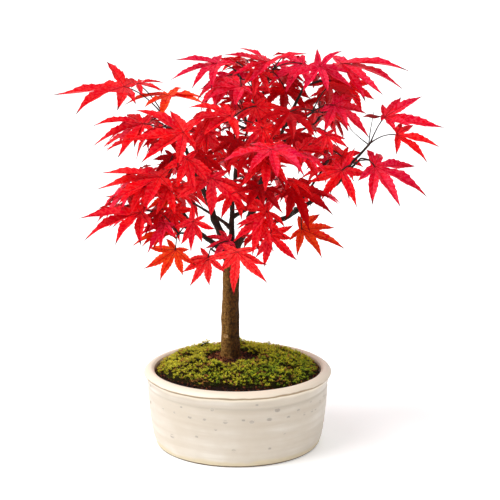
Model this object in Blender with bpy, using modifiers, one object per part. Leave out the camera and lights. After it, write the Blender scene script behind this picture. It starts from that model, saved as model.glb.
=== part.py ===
"""A japanese maple bonsai in autumn leaf, in a round glazed pot with moss and soil.

+Z is up, the origin is the middle of the pot's flat underside, and -Y is the front.
Lengths below are in millimetres and angles in degrees; MM turns a length into metres.
"""

import math
import random

import bmesh
import bpy
from mathutils import Matrix, Vector
from mathutils.bvhtree import BVHTree

MM = 0.001
GAP = 0.3  # clearance between one solid and the next

# Pot
RIM_RADIUS = 90.0
RIM_EDGE_HEIGHT = 69.5
LIP_HEIGHT = 74.0
LIP_INNER_RADIUS = 81.0
FOOT_RADIUS = 77.5
FLOOR_THICKNESS = 8.0
FLOOR_RADIUS = 66.0
CORNER = (75.0, 16.0)  # radius and height of the bend between the inner floor and wall
TURN_STEPS = 36

# Soil and moss
GROUND = 80.0  # level ground round the trunk's foot
GROUND_RADIUS = 26.0
SOIL_RINGS = (0, GROUND_RADIUS, 40, 55, 67)
SOIL_RADIUS = 78.0
SOIL_SHOULDER = 60.0  # height down to which the soil keeps that radius
SOIL_DROP = 12.0  # how far the soil falls from the foot to the pot's wall
MOSS_RADIUS = 75.0
MOSS_THICKNESS = 5.5
BARE_CENTRE = (-6.7, 1.0)
BARE_RADIUS = 23.5

# Trunk
FOOT_FLARE = 0.55
TRUNK_AXIS = ((-6.7, 4.0, GROUND + GAP), (-6.7, 4.0, GROUND + 5), (-7.2, 4.0, 100),
              (-7.0, 3.5, 125), (-6.4, 2.5, 152), (-5.6, 2.0, 174), (-5.0, 2.0, 184), (-5.0, 2.0, 191))
TRUNK_RADII = (8.9, 8.7, 8.6, 8.2, 7.8, 7.7, 8.0, 5.6)

# Leaves and twigs
LOBES = ((0, 1.0), (37, 0.93), (74, 0.76), (116, 0.42))  # angle from the middle lobe, length
LOBE_WIDTH = 0.13  # half the width of a lobe, as a share of the leaf's size
NOTCH = 0.27  # depth of the notches between the lobes
DROOP = 0.24  # how far the lobes' tips hang below the leaf's middle
LEAF_HALF_THICKNESS = 0.9
PETIOLE_RADIUS = 0.75
STEM_RADIUS = 1.1
STEM_LENGTH = 15.0
CLEARANCE = 0.6  # kept between one mass and the next, and round the limbs
RIM_POINTS = 24
SMALL_LOBE = 0.5  # a lobe shorter than this has no shoulders
FOOT_NOTCH = 0.07
# Bends that a petiole tries, moves towards the back that a leading leaf tries, and how often
# the rule tries to place a leaf
ARCHES = ((0, 0, 0.1), (0, 0, 0), (0.15, 0, 0.1), (-0.15, 0, 0.1), (0, 0.2, 0), (0, -0.2, 0), (0, 0, -0.15))
SHIFTS = (0, -4, 4, -8, 8, -12, 12, -16, 16)
TRIES = 60
HAIR = 0.03  # the most that a piece moves, each way, where a union has to be made again

# Each bough: name, what it grows from, how far along that, points it passes, its tip,
# its radius at the foot and at the tip
BOUGHS = (
    ("left_main", "trunk", 0.93,
     ((-13, 2, 198), (-21, 2, 215), (-28, 2, 236), (-38, -2, 258), (-48, -8, 282)),
     (-61, -14, 306), 3.9, 1.2),
    ("right_main", "trunk", 0.93,
     ((2, 2, 197), (9, 0, 209), (16, 1, 229), (25, 4, 256), (34, 5, 280), (44, 2, 304)),
     (58, -4, 334), 4.2, 1.3),
    ("left_low", "trunk", 0.86, ((-20, -3, 193), (-36, -10, 205), (-55, -20, 217)),
     (-70, -28, 226), 3.3, 1.3),
    ("back_main", "trunk", 0.88, ((-6, 16, 197), (-5, 34, 218), (-4, 52, 240)), (-2, 72, 258), 3.4, 1.4),
    ("left_mid", "left_low", 0.55, ((-50, -19, 226),), (-63, -27, 246), 2.0, 1.1),
    ("low_left", "left_low", 0.45, ((-40, -22, 207),), (-48, -36, 210), 1.7, 1.0),
    ("low_front", "trunk", 0.80, ((-15, -12, 184),), (-21, -30, 192), 1.7, 1.0),
    ("front_left", "left_main", 0.40, ((-24, -12, 236),), (-26, -34, 246), 1.7, 1.0),
    ("left_high", "left_main", 0.80, ((-52, -16, 290),), (-58, -28, 296), 1.5, 1.0),
    ("back_left_high", "left_main", 0.55, ((-44, 20, 270),), (-58, 42, 288), 2.0, 1.1),
    ("low_right", "right_main", 0.22, ((18, -14, 210),), (28, -34, 217), 1.7, 1.0),
    ("right_long", "right_main", 0.20,
     ((26, -6, 212), (46, -14, 221), (63, -20, 234), (93, -28, 256), (104, -31, 274)),
     (119, -34, 291), 2.6, 1.1),
    ("right_low", "right_long", 0.36, ((50, -24, 226),), (52, -36, 232), 1.4, 0.9),
    ("right_out", "right_long", 0.80, ((101, -36, 268),), (108, -42, 276), 1.2, 0.9),
    ("right_back", "right_long", 0.42, ((62, 4, 238),), (76, 28, 252), 1.8, 1.0),
    ("front", "right_main", 0.58, ((28, -20, 268),), (29, -48, 278), 1.8, 1.0),
    ("front_low", "right_main", 0.42, ((22, -16, 240),), (20, -36, 250), 1.6, 1.0),
    ("right_inner", "right_main", 0.62, ((44, -8, 278),), (60, -22, 286), 1.6, 1.0),
    ("right_high", "right_main", 0.80, ((54, -14, 310),), (62, -28, 316), 1.5, 1.0),
    ("back_right_high", "right_main", 0.66, ((48, 22, 290),), (70, 44, 300), 2.0, 1.1),
    ("centre_main", "right_main", 0.64, ((25, 8, 292), (19, 8, 308), (12, 8, 324)), (6, 3, 342), 2.4, 1.2),
    ("top", "centre_main", 0.55, ((22, 6, 330),), (28, 2, 347), 1.5, 1.0),
    ("left_inner", "centre_main", 0.30, ((6, -8, 303),), (-2, -22, 309), 1.5, 1.0),
    ("back_top", "centre_main", 0.50, ((16, 24, 326),), (14, 40, 338), 1.7, 1.0),
    ("back_left_low", "back_main", 0.30, ((-22, 34, 214),), (-48, 52, 226), 1.9, 1.0),
    ("back_right_low", "back_main", 0.42, ((18, 40, 224),), (44, 56, 234), 1.9, 1.0),
    ("back_high", "back_main", 0.66, ((0, 60, 262),), (6, 66, 284), 1.8, 1.0),
)

# Each mass of foliage: name, the limb whose tip carries it, middle and radius of its space,
# and how many leaves the rule adds to those that lead it. A leading leaf has its middle, size,
# the way its middle lobe points as seen from the front (0 right, 90 up), how much that lobe
# leans to the front, and how much its upper face looks up.
MASSES = (
    ("far_left", "left_main", (-84, -14, 330), 92, 1,
     ((-103, -10, 341, 70, 172, 5, 60), (-63, -6, 333, 50, -100, 79, 60), (-92, 2, 343, 28, -2, 0, 76))),
    ("left_high", "left_high", (-66, -48, 306), 76, 1,
     ((-84, -36, 310, 50, -170, 8, 55), (-47, -60, 305, 51, 178, 15, 44))),
    ("left_mid", "left_mid", (-72, -44, 262), 80, 1,
     ((-69, -46, 264, 60, 178, 5, 68), (-44, -62, 282, 34, -82, 20, 25),
      (-58, -36, 281, 26, -100, 15, 30))),
    ("left_low", "left_low", (-84, -40, 226), 76, 1,
     ((-87, -48, 231, 55, -170, 8, 62), (-63, -30, 210, 34, -172, 5, 62),
      (-62, -4, 240, 30, -160, 10, 45))),
    ("low_left", "low_left", (-50, -48, 208), 56, 0,
     ((-56, -44, 196, 33, -114, 15, 25), (-39, -57, 225, 29, -92, 10, 20))),
    ("low_front", "low_front", (-20, -44, 196), 56, 0,
     ((-26, -48, 190, 30, -120, 15, 25), (-8, -38, 203, 27, -173, 10, 55))),
    ("low_centre", "trunk", (0, -54, 190), 56, 0,
     ((0, -52, 196, 39, -92, 8, 20),)),
    ("low_right", "low_right", (28, -50, 216), 56, 1,
     ((30, -50, 211, 35, -48, 10, 25), (27, -58, 234, 34, -165, 15, 55), (17, -38, 215, 28, -125, 10, 30))),
    ("right_low", "right_low", (58, -42, 228), 70, 1,
     ((59, -38, 214, 41, -16, 10, 48), (51, -50, 253, 43, -25, 12, 55))),
    ("right_out", "right_out", (112, -46, 270), 76, 0,
     ((94, -50, 270, 36, -112, 12, 25), (124, -40, 272, 55, -18, 5, 50))),
    ("right_tip", "right_long", (142, -36, 310), 66, 0,
     ((135, -30, 316, 56, -1, 0, 42), (147, -44, 307, 41, -20, 8, 48))),
    ("right_top", "right_main", (86, -18, 354), 86, 0,
     ((74, -32, 361, 37, -78, 48, 40), (95, -8, 363, 63, -5, 0, 70), (104, 8, 341, 31, -62, 15, 40),
      (86, 6, 346, 30, -92, 15, 35))),
    ("top", "top", (36, -4, 352), 76, 2,
     ((27, -14, 366, 43, 170, 10, 75), (60, 8, 363, 41, -160, 15, 60),
      (44, 12, 338, 38, -95, 50, 50))),
    ("top_left", "centre_main", (-8, -12, 356), 76, 0,
     ((-19, -6, 364, 45, -166, 5, 60), (4, -32, 343, 41, -179, 12, 65),
      (-8, 12, 350, 36, -80, 15, 40), (14, -14, 340, 28, -75, 15, 35))),
    ("left_inner", "left_inner", (-2, -40, 316), 66, 0,
     ((-6, -46, 318, 40, 175, 12, 60), (17, -26, 325, 33, -70, 15, 35), (23, -40, 307, 28, -95, 15, 30),
      (-2, -30, 296, 30, -110, 15, 30), (-28, -34, 302, 27, -120, 10, 30))),
    ("right_high", "right_high", (66, -38, 322), 70, 1,
     ((47, -46, 322, 36, -86, 42, 40), (88, -28, 326, 42, -34, 10, 52))),
    ("right_inner", "right_inner", (70, -40, 294), 66, 0,
     ((80, -42, 301, 25, -82, 20, 25), (56, -52, 288, 36, -15, 15, 55), (95, -30, 280, 28, -60, 10, 35),
      (52, -22, 300, 28, -85, 15, 30))),
    ("front", "front", (30, -78, 290), 66, 2,
     ((30, -84, 293, 50, -98, 68, 40),)),
    ("front_low", "front_low", (20, -60, 258), 56, 1,
     ((20, -66, 257, 36, -95, 60, 30),)),
    ("front_left", "front_left", (-20, -56, 262), 62, 0,
     ((-22, -58, 264, 41, -93, 20, 25), (-3, -48, 252, 31, -72, 15, 35), (-28, -38, 280, 30, -110, 15, 30))),
    ("right_back", "right_back", (86, 44, 262), 76, 4, ()),
    ("back_right_high", "back_right_high", (78, 60, 312), 84, 5, ()),
    ("back_right_low", "back_right_low", (56, 72, 242), 80, 5, ()),
    ("back", "back_main", (0, 92, 262), 76, 5, ()),
    ("back_high", "back_high", (8, 76, 302), 76, 5, ()),
    ("back_top", "back_top", (12, 46, 346), 76, 5, ()),
    ("back_left_low", "back_left_low", (-60, 70, 238), 80, 5, ()),
    ("back_left_high", "back_left_high", (-72, 54, 300), 84, 5, ()),
)

# The crown's outline as the eye in front sees it, on the upright plane through the trunk (x, z),
# and the windows in it where sky shows (x, z, radius). Leaves that the rule adds keep to them.
EYE = (12, -1200, 433)
OUTLINE = ((-60, 364), (-15, 376), (40, 379), (80, 379), (140, 364), (138, 336), (116, 324), (120, 304),
           (96, 284), (114, 268), (112, 236), (90, 226), (62, 204), (36, 176), (0, 164), (-40, 164),
           (-76, 176), (-112, 198), (-148, 222), (-130, 256), (-138, 284), (-96, 284), (-144, 312),
           (-110, 330), (-84, 342), (-50, 342))
WINDOWS = ((-5, 226, 14), (-92, 325, 9), (-44, 336, 8), (-12, 252, 6))

COLOURS = {
    "glaze": ((0.80, 0.75, 0.67, 1), 0.35), "soil": ((0.07, 0.035, 0.025, 1), 0.95),
    "moss": ((0.16, 0.22, 0.03, 1), 0.9), "bark": ((0.12, 0.075, 0.04, 1), 0.85),
    "leaf": ((0.72, 0.01, 0.02, 1), 0.55),
}


def material_named(name):
    """A Principled material of one of the colours above, made once."""
    if name in bpy.data.materials:
        return bpy.data.materials[name]
    material = bpy.data.materials.new(name)
    material.use_nodes = True
    shader = material.node_tree.nodes["Principled BSDF"]
    colour, roughness = COLOURS[name]
    shader.inputs["Base Color"].default_value = colour
    shader.inputs["Roughness"].default_value = roughness
    shader.inputs["Metallic"].default_value = 0.0
    return material


def put_in(collection, name, data):
    obj = bpy.data.objects.new(name, data)
    collection.objects.link(obj)
    return obj


def evaluated_mesh(obj):
    """The object's mesh with its modifiers applied."""
    graph = bpy.context.evaluated_depsgraph_get()
    return bpy.data.meshes.new_from_object(obj.evaluated_get(graph))


def finish(obj, material, crease=40):
    obj.data.materials.clear()
    obj.data.materials.append(material_named(material))
    obj.data.shade_smooth()
    obj.data.set_sharp_from_angle(angle=math.radians(crease))
    return obj


# Pot, soil and moss


def turned(name, profile, collection):
    """A solid of revolution. The profile is (radius, height) pairs, from the axis at the top
    of the inside round to the axis underneath, so that it runs down the outer side."""
    mesh = bpy.data.meshes.new(name)
    corners = [(radius * MM, 0, height * MM) for radius, height in profile]
    mesh.from_pydata(corners, [(i, i + 1) for i in range(len(corners) - 1)], [])
    obj = put_in(collection, name, mesh)
    screw = obj.modifiers.new("turn", "SCREW")
    screw.steps = screw.render_steps = TURN_STEPS
    screw.use_merge_vertices = True
    screw.merge_threshold = 0.00001
    return obj


def soil_height(radius):
    """Level round the trunk's foot, then falling ever faster to the pot's wall."""
    beyond = max(0.0, radius - GROUND_RADIUS) / (SOIL_RADIUS - GROUND_RADIUS)
    return GROUND - SOIL_DROP * beyond**1.8


def make_pot(collection):
    """Down the inside, over the rolled lip to its edge, and down the bulging wall to the foot."""
    inside = ((0, FLOOR_THICKNESS), (FLOOR_RADIUS, FLOOR_THICKNESS), CORNER, (LIP_INNER_RADIUS - 1.5, 66))
    lip = ((LIP_INNER_RADIUS, LIP_HEIGHT - 1.5), (LIP_INNER_RADIUS + 2.5, LIP_HEIGHT),
           (RIM_RADIUS - 2.6, LIP_HEIGHT - 1.6), (RIM_RADIUS, RIM_EDGE_HEIGHT),
           (RIM_RADIUS - 1.5, RIM_EDGE_HEIGHT - 2.2))
    outside = ((86.8, 62), (85.3, 38), (82.2, 13), (FOOT_RADIUS + 2, 2.5), (FOOT_RADIUS, 0), (0, 0))
    return finish(turned("pot", inside + lip + outside, collection), "glaze", 50)


def make_soil(collection):
    """The root ball, which fills the pot a hair clear of its wall and floor."""
    top = [(radius, soil_height(radius)) for radius in (*SOIL_RINGS, SOIL_RADIUS)]
    foot = FLOOR_THICKNESS + GAP
    under = [(SOIL_RADIUS, SOIL_SHOULDER), (CORNER[0] - GAP, CORNER[1]), (FLOOR_RADIUS - GAP, foot), (0, foot)]
    return finish(turned("soil", top + under, collection), "soil")


def make_moss(collection, cutters):
    """A cushion over the soil with low humps and an uneven edge, cut away round the trunk."""
    rings = (*SOIL_RINGS, MOSS_RADIUS)
    top = [(r, soil_height(r) + MOSS_THICKNESS * (1 - 0.45 * (r / MOSS_RADIUS) ** 8)) for r in rings]
    under = [(r, soil_height(r) + GAP) for r in reversed(rings)]
    moss = turned("moss", top + under, collection)
    lumpy = evaluated_mesh(moss)
    moss.modifiers.clear()
    moss.data = lumpy
    for vertex in lumpy.vertices:
        x, y, z = (value / MM for value in vertex.co)
        radius, turn = math.hypot(x, y), math.atan2(y, x)
        above = z - soil_height(radius)
        if above > 1:
            humps = math.sin(x / 9) * math.cos(y / 8) + 0.6 * math.sin(x / 5 + y / 6)
            vertex.co.z += humps * min(1.0, (MOSS_RADIUS - radius) / 8) * MM
        if radius > MOSS_RADIUS - 1:
            pull = 1 - 0.035 * (1 + math.sin(3 * turn + 1)) - 0.02 * (1 + math.sin(7 * turn))
            vertex.co.x *= pull
            vertex.co.y *= pull
            if above <= 1:
                vertex.co.z = (soil_height(radius * pull) + GAP) * MM
    hole = bpy.data.meshes.new("bare_ground")
    shape = bmesh.new()
    bmesh.ops.create_cone(shape, cap_ends=True, segments=20, radius1=1, radius2=1, depth=30 * MM)
    for vertex in shape.verts:
        turn = math.atan2(vertex.co.y, vertex.co.x)
        reach = (BARE_RADIUS + 2.5 * math.sin(3 * turn + 0.6) + 1.5 * math.sin(5 * turn)) * MM
        vertex.co.x = BARE_CENTRE[0] * MM + reach * math.cos(turn)
        vertex.co.y = BARE_CENTRE[1] * MM + reach * math.sin(turn)
        vertex.co.z += GROUND * MM
    shape.to_mesh(hole)
    shape.free()
    cut_by(moss, [put_in(cutters, "bare_ground", hole)])
    return finish(moss, "moss", 60)


# Trunk and boughs


def largest_body(mesh):
    """Keeps the largest loose piece of the mesh, so scraps and sealed hollows go. Returns
    whether it is closed and how many pieces there were."""
    shape = bmesh.new()
    shape.from_mesh(mesh)
    bmesh.ops.remove_doubles(shape, verts=shape.verts, dist=0.0000001)
    unseen, bodies = set(shape.verts), []
    while unseen:
        found, frontier = set(), [unseen.pop()]
        while frontier:
            vertex = frontier.pop()
            found.add(vertex)
            for edge in vertex.link_edges:
                other = edge.other_vert(vertex)
                if other in unseen:
                    unseen.discard(other)
                    frontier.append(other)
        bodies.append(found)
    bodies.sort(key=len)
    loose = [vertex for body in bodies[:-1] for vertex in body]
    bmesh.ops.delete(shape, geom=loose, context="VERTS")
    bmesh.ops.triangulate(shape, faces=shape.faces)
    closed = all(len(edge.link_faces) == 2 for edge in shape.edges)
    shape.to_mesh(mesh)
    shape.free()
    return closed, len(bodies)


def cut_by(obj, cutters):
    """Takes each cutter out of the object, and removes the cutters."""
    for cutter in cutters:
        cutter.hide_render = True
        cutter.display_type = "WIRE"
        modifier = obj.modifiers.new("clear", "BOOLEAN")
        modifier.operation = "DIFFERENCE"
        modifier.object = cutter
    obj.data = evaluated_mesh(obj)
    obj.modifiers.clear()
    for cutter in cutters:
        bpy.data.objects.remove(cutter)
    largest_body(obj.data)


def smooth_route(points, spacing):
    """Points about this far apart on a smooth curve through the given ones (Catmull-Rom)."""
    given = [Vector(point) for point in points]
    ends = [2 * given[0] - given[1]] + given + [2 * given[-1] - given[-2]]
    route = []
    for a, b, c, d in zip(ends, ends[1:], ends[2:], ends[3:]):
        count = max(1, round((c - b).length / spacing))
        for i in range(count):
            t = i / count
            route.append(0.5 * (2 * b + (c - a) * t + (2 * a - 5 * b + 4 * c - d) * t * t
                                + (3 * b - a - 3 * c + d) * t**3))
    return route + [given[-1]]


def tube(name, points, radii, resolution, collection):
    """A mesh tube along the points: a curve with a bevel and filled caps, made a mesh."""
    curve = bpy.data.curves.new(name, "CURVE")
    curve.dimensions = "3D"
    curve.bevel_depth = MM
    curve.bevel_resolution = resolution
    curve.use_fill_caps = True
    spline = curve.splines.new("POLY")
    spline.points.add(len(points) - 1)
    for spot, point, radius in zip(spline.points, points, radii):
        spot.co = (*(Vector(point) * MM), 1)
        spot.radius = radius
    guide = put_in(collection, name + "_guide", curve)
    obj = put_in(collection, name, evaluated_mesh(guide))
    obj.matrix_world = guide.matrix_world
    bpy.data.objects.remove(guide)
    shape = bmesh.new()
    shape.from_mesh(obj.data)
    bmesh.ops.remove_doubles(shape, verts=shape.verts, dist=0.000001)
    bmesh.ops.recalc_face_normals(shape, faces=shape.faces)
    shape.to_mesh(obj.data)
    shape.free()
    return obj


def grown(points, radii, by):
    """The same route and radii, larger all round by this much."""
    first = (points[0] - points[1]).normalized() * by
    last = (points[-1] - points[-2]).normalized() * by
    return [points[0] + first] + points[1:-1] + [points[-1] + last], [radius + by for radius in radii]


def search_tree(mesh, by=0.0):
    """A tree of the mesh's faces for touch tests, each point moved out along its normal."""
    corners = [(vertex.co / MM + vertex.normal * by) for vertex in mesh.vertices]
    return BVHTree.FromPolygons(corners, [tuple(face.vertices) for face in mesh.polygons])


def make_trunk(collection):
    """The trunk from its flat cut on the soil to its fork, with low root ridges at its foot."""
    axis, resolution = [Vector(point) for point in TRUNK_AXIS], 6
    trunk = tube("trunk", axis, TRUNK_RADII, resolution, collection)
    for vertex in trunk.data.vertices:
        height = vertex.co.z / MM - GROUND
        if height < 40:
            centre = Vector((TRUNK_AXIS[0][0], TRUNK_AXIS[0][1], 0)) * MM
            out = Vector((vertex.co.x, vertex.co.y, 0)) - centre
            ridge = 0.65 + 0.35 * math.cos(5 * math.atan2(out.y, out.x) + 0.8)
            vertex.co += out * FOOT_FLARE * ridge * math.exp(-height / 6)
    return limb_record(finish(trunk, "bark"), axis, list(TRUNK_RADII), resolution)


def point_along(points, share):
    """The point this share of the way along a route."""
    lengths = [(b - a).length for a, b in zip(points, points[1:])]
    left = share * sum(lengths)
    for (a, b), length in zip(zip(points, points[1:]), lengths):
        if left <= length:
            return a.lerp(b, left / length)
        left -= length
    return points[-1]


def limb_record(limb, axis, radii, resolution):
    return {"axis": axis, "radii": radii, "resolution": resolution, "tree": search_tree(limb.data, CLEARANCE)}


def make_bough(row, limbs, collection, cutters):
    """One tapering limb, cut clear of every earlier limb that its foot meets."""
    name, parent, share, passing, tip, foot_radius, tip_radius = row
    start = point_along(limbs[parent]["axis"], share)
    axis = smooth_route([start, *passing, tip], 14)
    random_bend = random.Random(name)
    for i in range(2, len(axis) - 1):
        axis[i] += Vector([random_bend.uniform(-0.9, 0.9) for _ in range(3)])
    steps = [i / (len(axis) - 1) for i in range(len(axis))]
    radii = [tip_radius + (foot_radius - tip_radius) * (1 - step) ** 1.2 for step in steps]
    resolution = 2 if foot_radius > 2.5 else 1
    bough = tube("bough_" + name, axis, radii, resolution, collection)
    tree = search_tree(bough.data)
    touching = [limb for limb in limbs.values() if limb["tree"].overlap(tree)]
    cut_by(bough, [tube("clear", *grown(limb["axis"], limb["radii"], GAP), limb["resolution"], cutters)
                   for limb in touching])
    finish(bough, "bark")
    limbs[name] = limb_record(bough, axis, radii, resolution)


# Leaves, twigs and masses


def leaf_outline(size, random_leaf):
    """The leaf's rim as RIM_POINTS points round its middle: for each lobe two shoulders and
    a tip, with a notch between neighbours. x runs to the middle lobe's tip, z is the upper side."""
    lobes = [(-angle, length) for angle, length in reversed(LOBES[1:])] + list(LOBES)
    lobes = [(angle + random_leaf.uniform(-4, 4), length * random_leaf.uniform(0.9, 1.06))
             for angle, length in lobes]
    rim = []
    for i, (angle, length) in enumerate(lobes):
        spread = math.degrees(math.atan2(LOBE_WIDTH * (0.4 + 0.6 * length), 0.48 * length))
        if i:
            rim.append(((angle + lobes[i - 1][0]) / 2, NOTCH))
        if length < SMALL_LOBE:
            rim.append((angle, length))
        else:
            rim += [(angle - spread, 0.5 * length), (angle, length), (angle + spread, 0.5 * length)]
    rim.append((180, FOOT_NOTCH))
    lift = random_leaf.uniform(0.7, 1.3)
    points = []
    for angle, radius in rim:
        turn = math.radians(angle)
        points.append((radius * math.cos(turn) * size, radius * math.sin(turn) * size,
                       -DROOP * lift * radius**1.6 * size))
    return points


def leaf_shape(size, random_leaf):
    """Corners and faces of one blade: a cone's flat rim drawn out into the outline, so that
    the blade is thick in its middle and thin at its edge."""
    shape = bmesh.new()
    bmesh.ops.create_cone(shape, cap_ends=True, cap_tris=True, segments=RIM_POINTS,
                          radius1=1, radius2=0, depth=1)
    bmesh.ops.remove_doubles(shape, verts=shape.verts, dist=0.0001)
    rim = leaf_outline(size, random_leaf)
    corners = []
    for vertex in shape.verts:
        if math.hypot(vertex.co.x, vertex.co.y) < 0.5:
            side = 1 if vertex.co.z > 0 else -1
            corners.append((0.06 * size, 0, side * LEAF_HALF_THICKNESS))
        else:
            turn = math.atan2(vertex.co.y, vertex.co.x) + math.pi
            corners.append(rim[round(turn / (2 * math.pi) * RIM_POINTS - 1) % RIM_POINTS])
    faces = [tuple(vertex.index for vertex in face.verts) for face in shape.faces]
    shape.free()
    return corners, faces


def frame_of(middle, ahead, up):
    """A matrix that takes a leaf's own x to ahead and its z as near to up as it can."""
    ahead = ahead.normalized()
    normal = (up - up.dot(ahead) * ahead).normalized()
    side = normal.cross(ahead)
    return Matrix.Translation(middle) @ Matrix((ahead, side, normal)).transposed().to_4x4()


def leading_frame(row):
    """Place and turn of a leaf that leads its mass, as the table gives them."""
    x, y, z, _, aim, lean, face = row
    aim, lean, face = math.radians(aim), math.radians(lean), math.radians(face)
    ahead = Vector((math.cos(aim) * math.cos(lean), -math.sin(lean), math.sin(aim) * math.cos(lean)))
    return frame_of(Vector((x, y, z)), ahead, Vector((0, -math.cos(face), math.sin(face))))


def ruled_frame(foot, heading, side, random_leaf):
    """Place and turn of a leaf that the rule adds: on a petiole that rises outwards from the
    stem, to one side or the other, with the blade hanging down and out."""
    turn = heading + side * math.radians(random_leaf.uniform(15, 75))
    rise = math.radians(random_leaf.uniform(-15, 50))
    reach = random_leaf.uniform(16, 34)
    out = Vector((math.cos(turn), math.sin(turn), 0))
    middle = foot + reach * (out * math.cos(rise) + Vector((0, 0, math.sin(rise))))
    fall = math.radians(random_leaf.uniform(10, 45))
    ahead = out * math.cos(fall) - Vector((0, 0, math.sin(fall)))
    roll = Vector((-out.y, out.x, 0)) * random_leaf.uniform(-0.4, 0.4)
    return frame_of(middle, ahead, Vector((0, 0, 1)) + 0.4 * out + roll)


def petiole(foot, frame, arch):
    """Three points from the stem to inside the blade's middle, arched sideways or upwards."""
    end = frame @ Vector((1.2, 0, -0.2))
    middle = foot.lerp(end, 0.55) + Vector(arch) * (end - foot).length
    return [foot, middle, end]


def touches(mesh, trees):
    tree = search_tree(mesh)
    return any(other.overlap(tree) for other in trees)


def make_leaf(name, frame, size, random_leaf, collection):
    corners, faces = leaf_shape(size, random_leaf)
    mesh = bpy.data.meshes.new(name)
    mesh.from_pydata([frame @ Vector(corner) * MM for corner in corners], [], faces)
    shape = bmesh.new()
    shape.from_mesh(mesh)
    bmesh.ops.recalc_face_normals(shape, faces=shape.faces)
    shape.to_mesh(mesh)
    shape.free()
    return put_in(collection, name, mesh)


def seen_in_crown(points):
    """Whether the eye in front sees all these points inside the crown's outline and beside its windows."""
    eye = Vector(EYE)
    for point in points:
        seen = eye + (point - eye) * (-eye.y / (point.y - eye.y))
        inside = False
        for (ax, az), (bx, bz) in zip(OUTLINE, OUTLINE[1:] + OUTLINE[:1]):
            if (az > seen.z) != (bz > seen.z) and seen.x < ax + (bx - ax) * (seen.z - az) / (bz - az):
                inside = not inside
        if not inside or any(math.hypot(seen.x - x, seen.z - z) < radius for x, z, radius in WINDOWS):
            return False
    return True


class Mass:
    """A mass as it grows: its space, what it must keep clear of, and its blades and petioles."""

    def __init__(self, heart, reach, trees, collection):
        self.heart, self.reach, self.trees, self.collection = heart, reach, trees, collection
        self.blades, self.stalks = [], []

    def add(self, foot, frame, size, seed, leads):
        """Adds a blade with its petiole, unless one of them would leave the mass's space, cross
        another leaf of it, or touch a limb or another mass."""
        blade = make_leaf("blade", frame, size, random.Random(seed), self.collection)
        corners = [vertex.co / MM for vertex in blade.data.vertices]
        fits = all((corner - self.heart).length < self.reach for corner in corners)
        fits = fits and (leads or seen_in_crown(corners))
        if fits and not touches(blade.data, self.trees + self.blades + self.stalks):
            for arch in ARCHES:
                stalk = tube("petiole", petiole(foot, frame, arch), (PETIOLE_RADIUS,) * 3, 0, self.collection)
                if not touches(stalk.data, self.trees + self.blades):
                    self.blades.append(search_tree(blade.data))
                    self.stalks.append(search_tree(stalk.data))
                    return True
                bpy.data.objects.remove(stalk)
        bpy.data.objects.remove(blade)
        return False


def fuse(core, collection):
    """Joins all that the collection holds to the core, and removes the collection's objects.
    Where no solver closes the mass, its pieces are moved by a hair and the union is made
    again, and at the last its newest leaf goes."""
    pieces, closed, hair = list(collection.objects), False, random.Random(core.name)
    while not closed:
        for attempt in range(4):
            for piece in pieces:
                piece.location = [hair.uniform(-HAIR, HAIR) * attempt * MM for _ in range(3)]
            solver = ("EXACT", "MANIFOLD")[attempt % 2]
            modifier = core.modifiers.new("fuse", "BOOLEAN")
            modifier.operation = "UNION"
            modifier.operand_type = "COLLECTION"
            modifier.collection = collection
            modifier.solver = solver
            mesh = evaluated_mesh(core)
            core.modifiers.clear()
            closed, bodies = largest_body(mesh)
            if closed:
                break
        else:
            print(core.name, "isn't closed with", len(pieces) // 2, "leaves, so it loses its last")
            for _ in range(2):
                bpy.data.objects.remove(pieces.pop())
    print(core.name, len(pieces) // 2, "leaves, of", bodies, "bodies")
    core.data = mesh
    for piece in pieces:
        bpy.data.objects.remove(piece)


def make_mass(row, limbs, masses, collection, workshop):
    """One mass: a stem that goes on from its limb, with a petiole and blade for each leaf."""
    name, limb_name, heart, reach, added, leading = row
    heart = Vector(heart)
    trees = [limb["tree"] for limb in limbs.values()] + masses
    axis, radii = limbs[limb_name]["axis"], limbs[limb_name]["radii"]
    if limb_name == "trunk":
        root = Vector(TRUNK_AXIS[-2]) - Vector((0, radii[-2] + GAP, 0))
        onward = Vector((0, -1, 0))
    else:
        onward = (axis[-1] - axis[-2]).normalized()
        root = axis[-1] + onward * GAP
    towards = (heart - root).normalized()
    bend = root + onward * STEM_LENGTH * 0.4
    tip = bend + (onward + towards).normalized() * STEM_LENGTH * 0.6
    stem_radius = min(STEM_RADIUS, radii[-1])
    stem_radii = (stem_radius, stem_radius * 0.9, PETIOLE_RADIUS)
    stem = tube("spray_" + name, [root, bend, tip], stem_radii, 0, collection)
    others = [limb["tree"] for key, limb in limbs.items() if key != limb_name] + masses
    if touches(stem.data, others):
        print("stem of", name, "touches")
    mass = Mass(heart, reach, trees, workshop)
    for number, leaf in enumerate(leading):
        foot = bend.lerp(tip, max(0.0, 1 - 0.35 * number))
        for shift in SHIFTS:
            frame = Matrix.Translation((0, shift, 0)) @ leading_frame(leaf)
            if mass.add(foot, frame, leaf[3], f"{name} leading {number}", True):
                break
        else:
            print("leading leaf", number, "of", name, "left out")
    outward = heart - Vector((*TRUNK_AXIS[-1][:2], heart.z))
    heading = math.atan2(outward.y, outward.x)
    for number in range(added):
        for attempt in range(TRIES):
            seed = f"{name} added {number} {attempt}"
            rule = random.Random(seed)
            foot = bend.lerp(tip, rule.uniform(0.1, 1))
            size = rule.uniform(32, 46)
            frame = ruled_frame(foot, heading, 1 if number % 2 else -1, rule)
            if mass.add(foot, frame, size, seed, False):
                break
        else:
            print("added leaf", number, "of", name, "left out")
    fuse(stem, workshop)
    finish(stem, "leaf", 30)
    masses.append(search_tree(stem.data, CLEARANCE))


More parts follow.
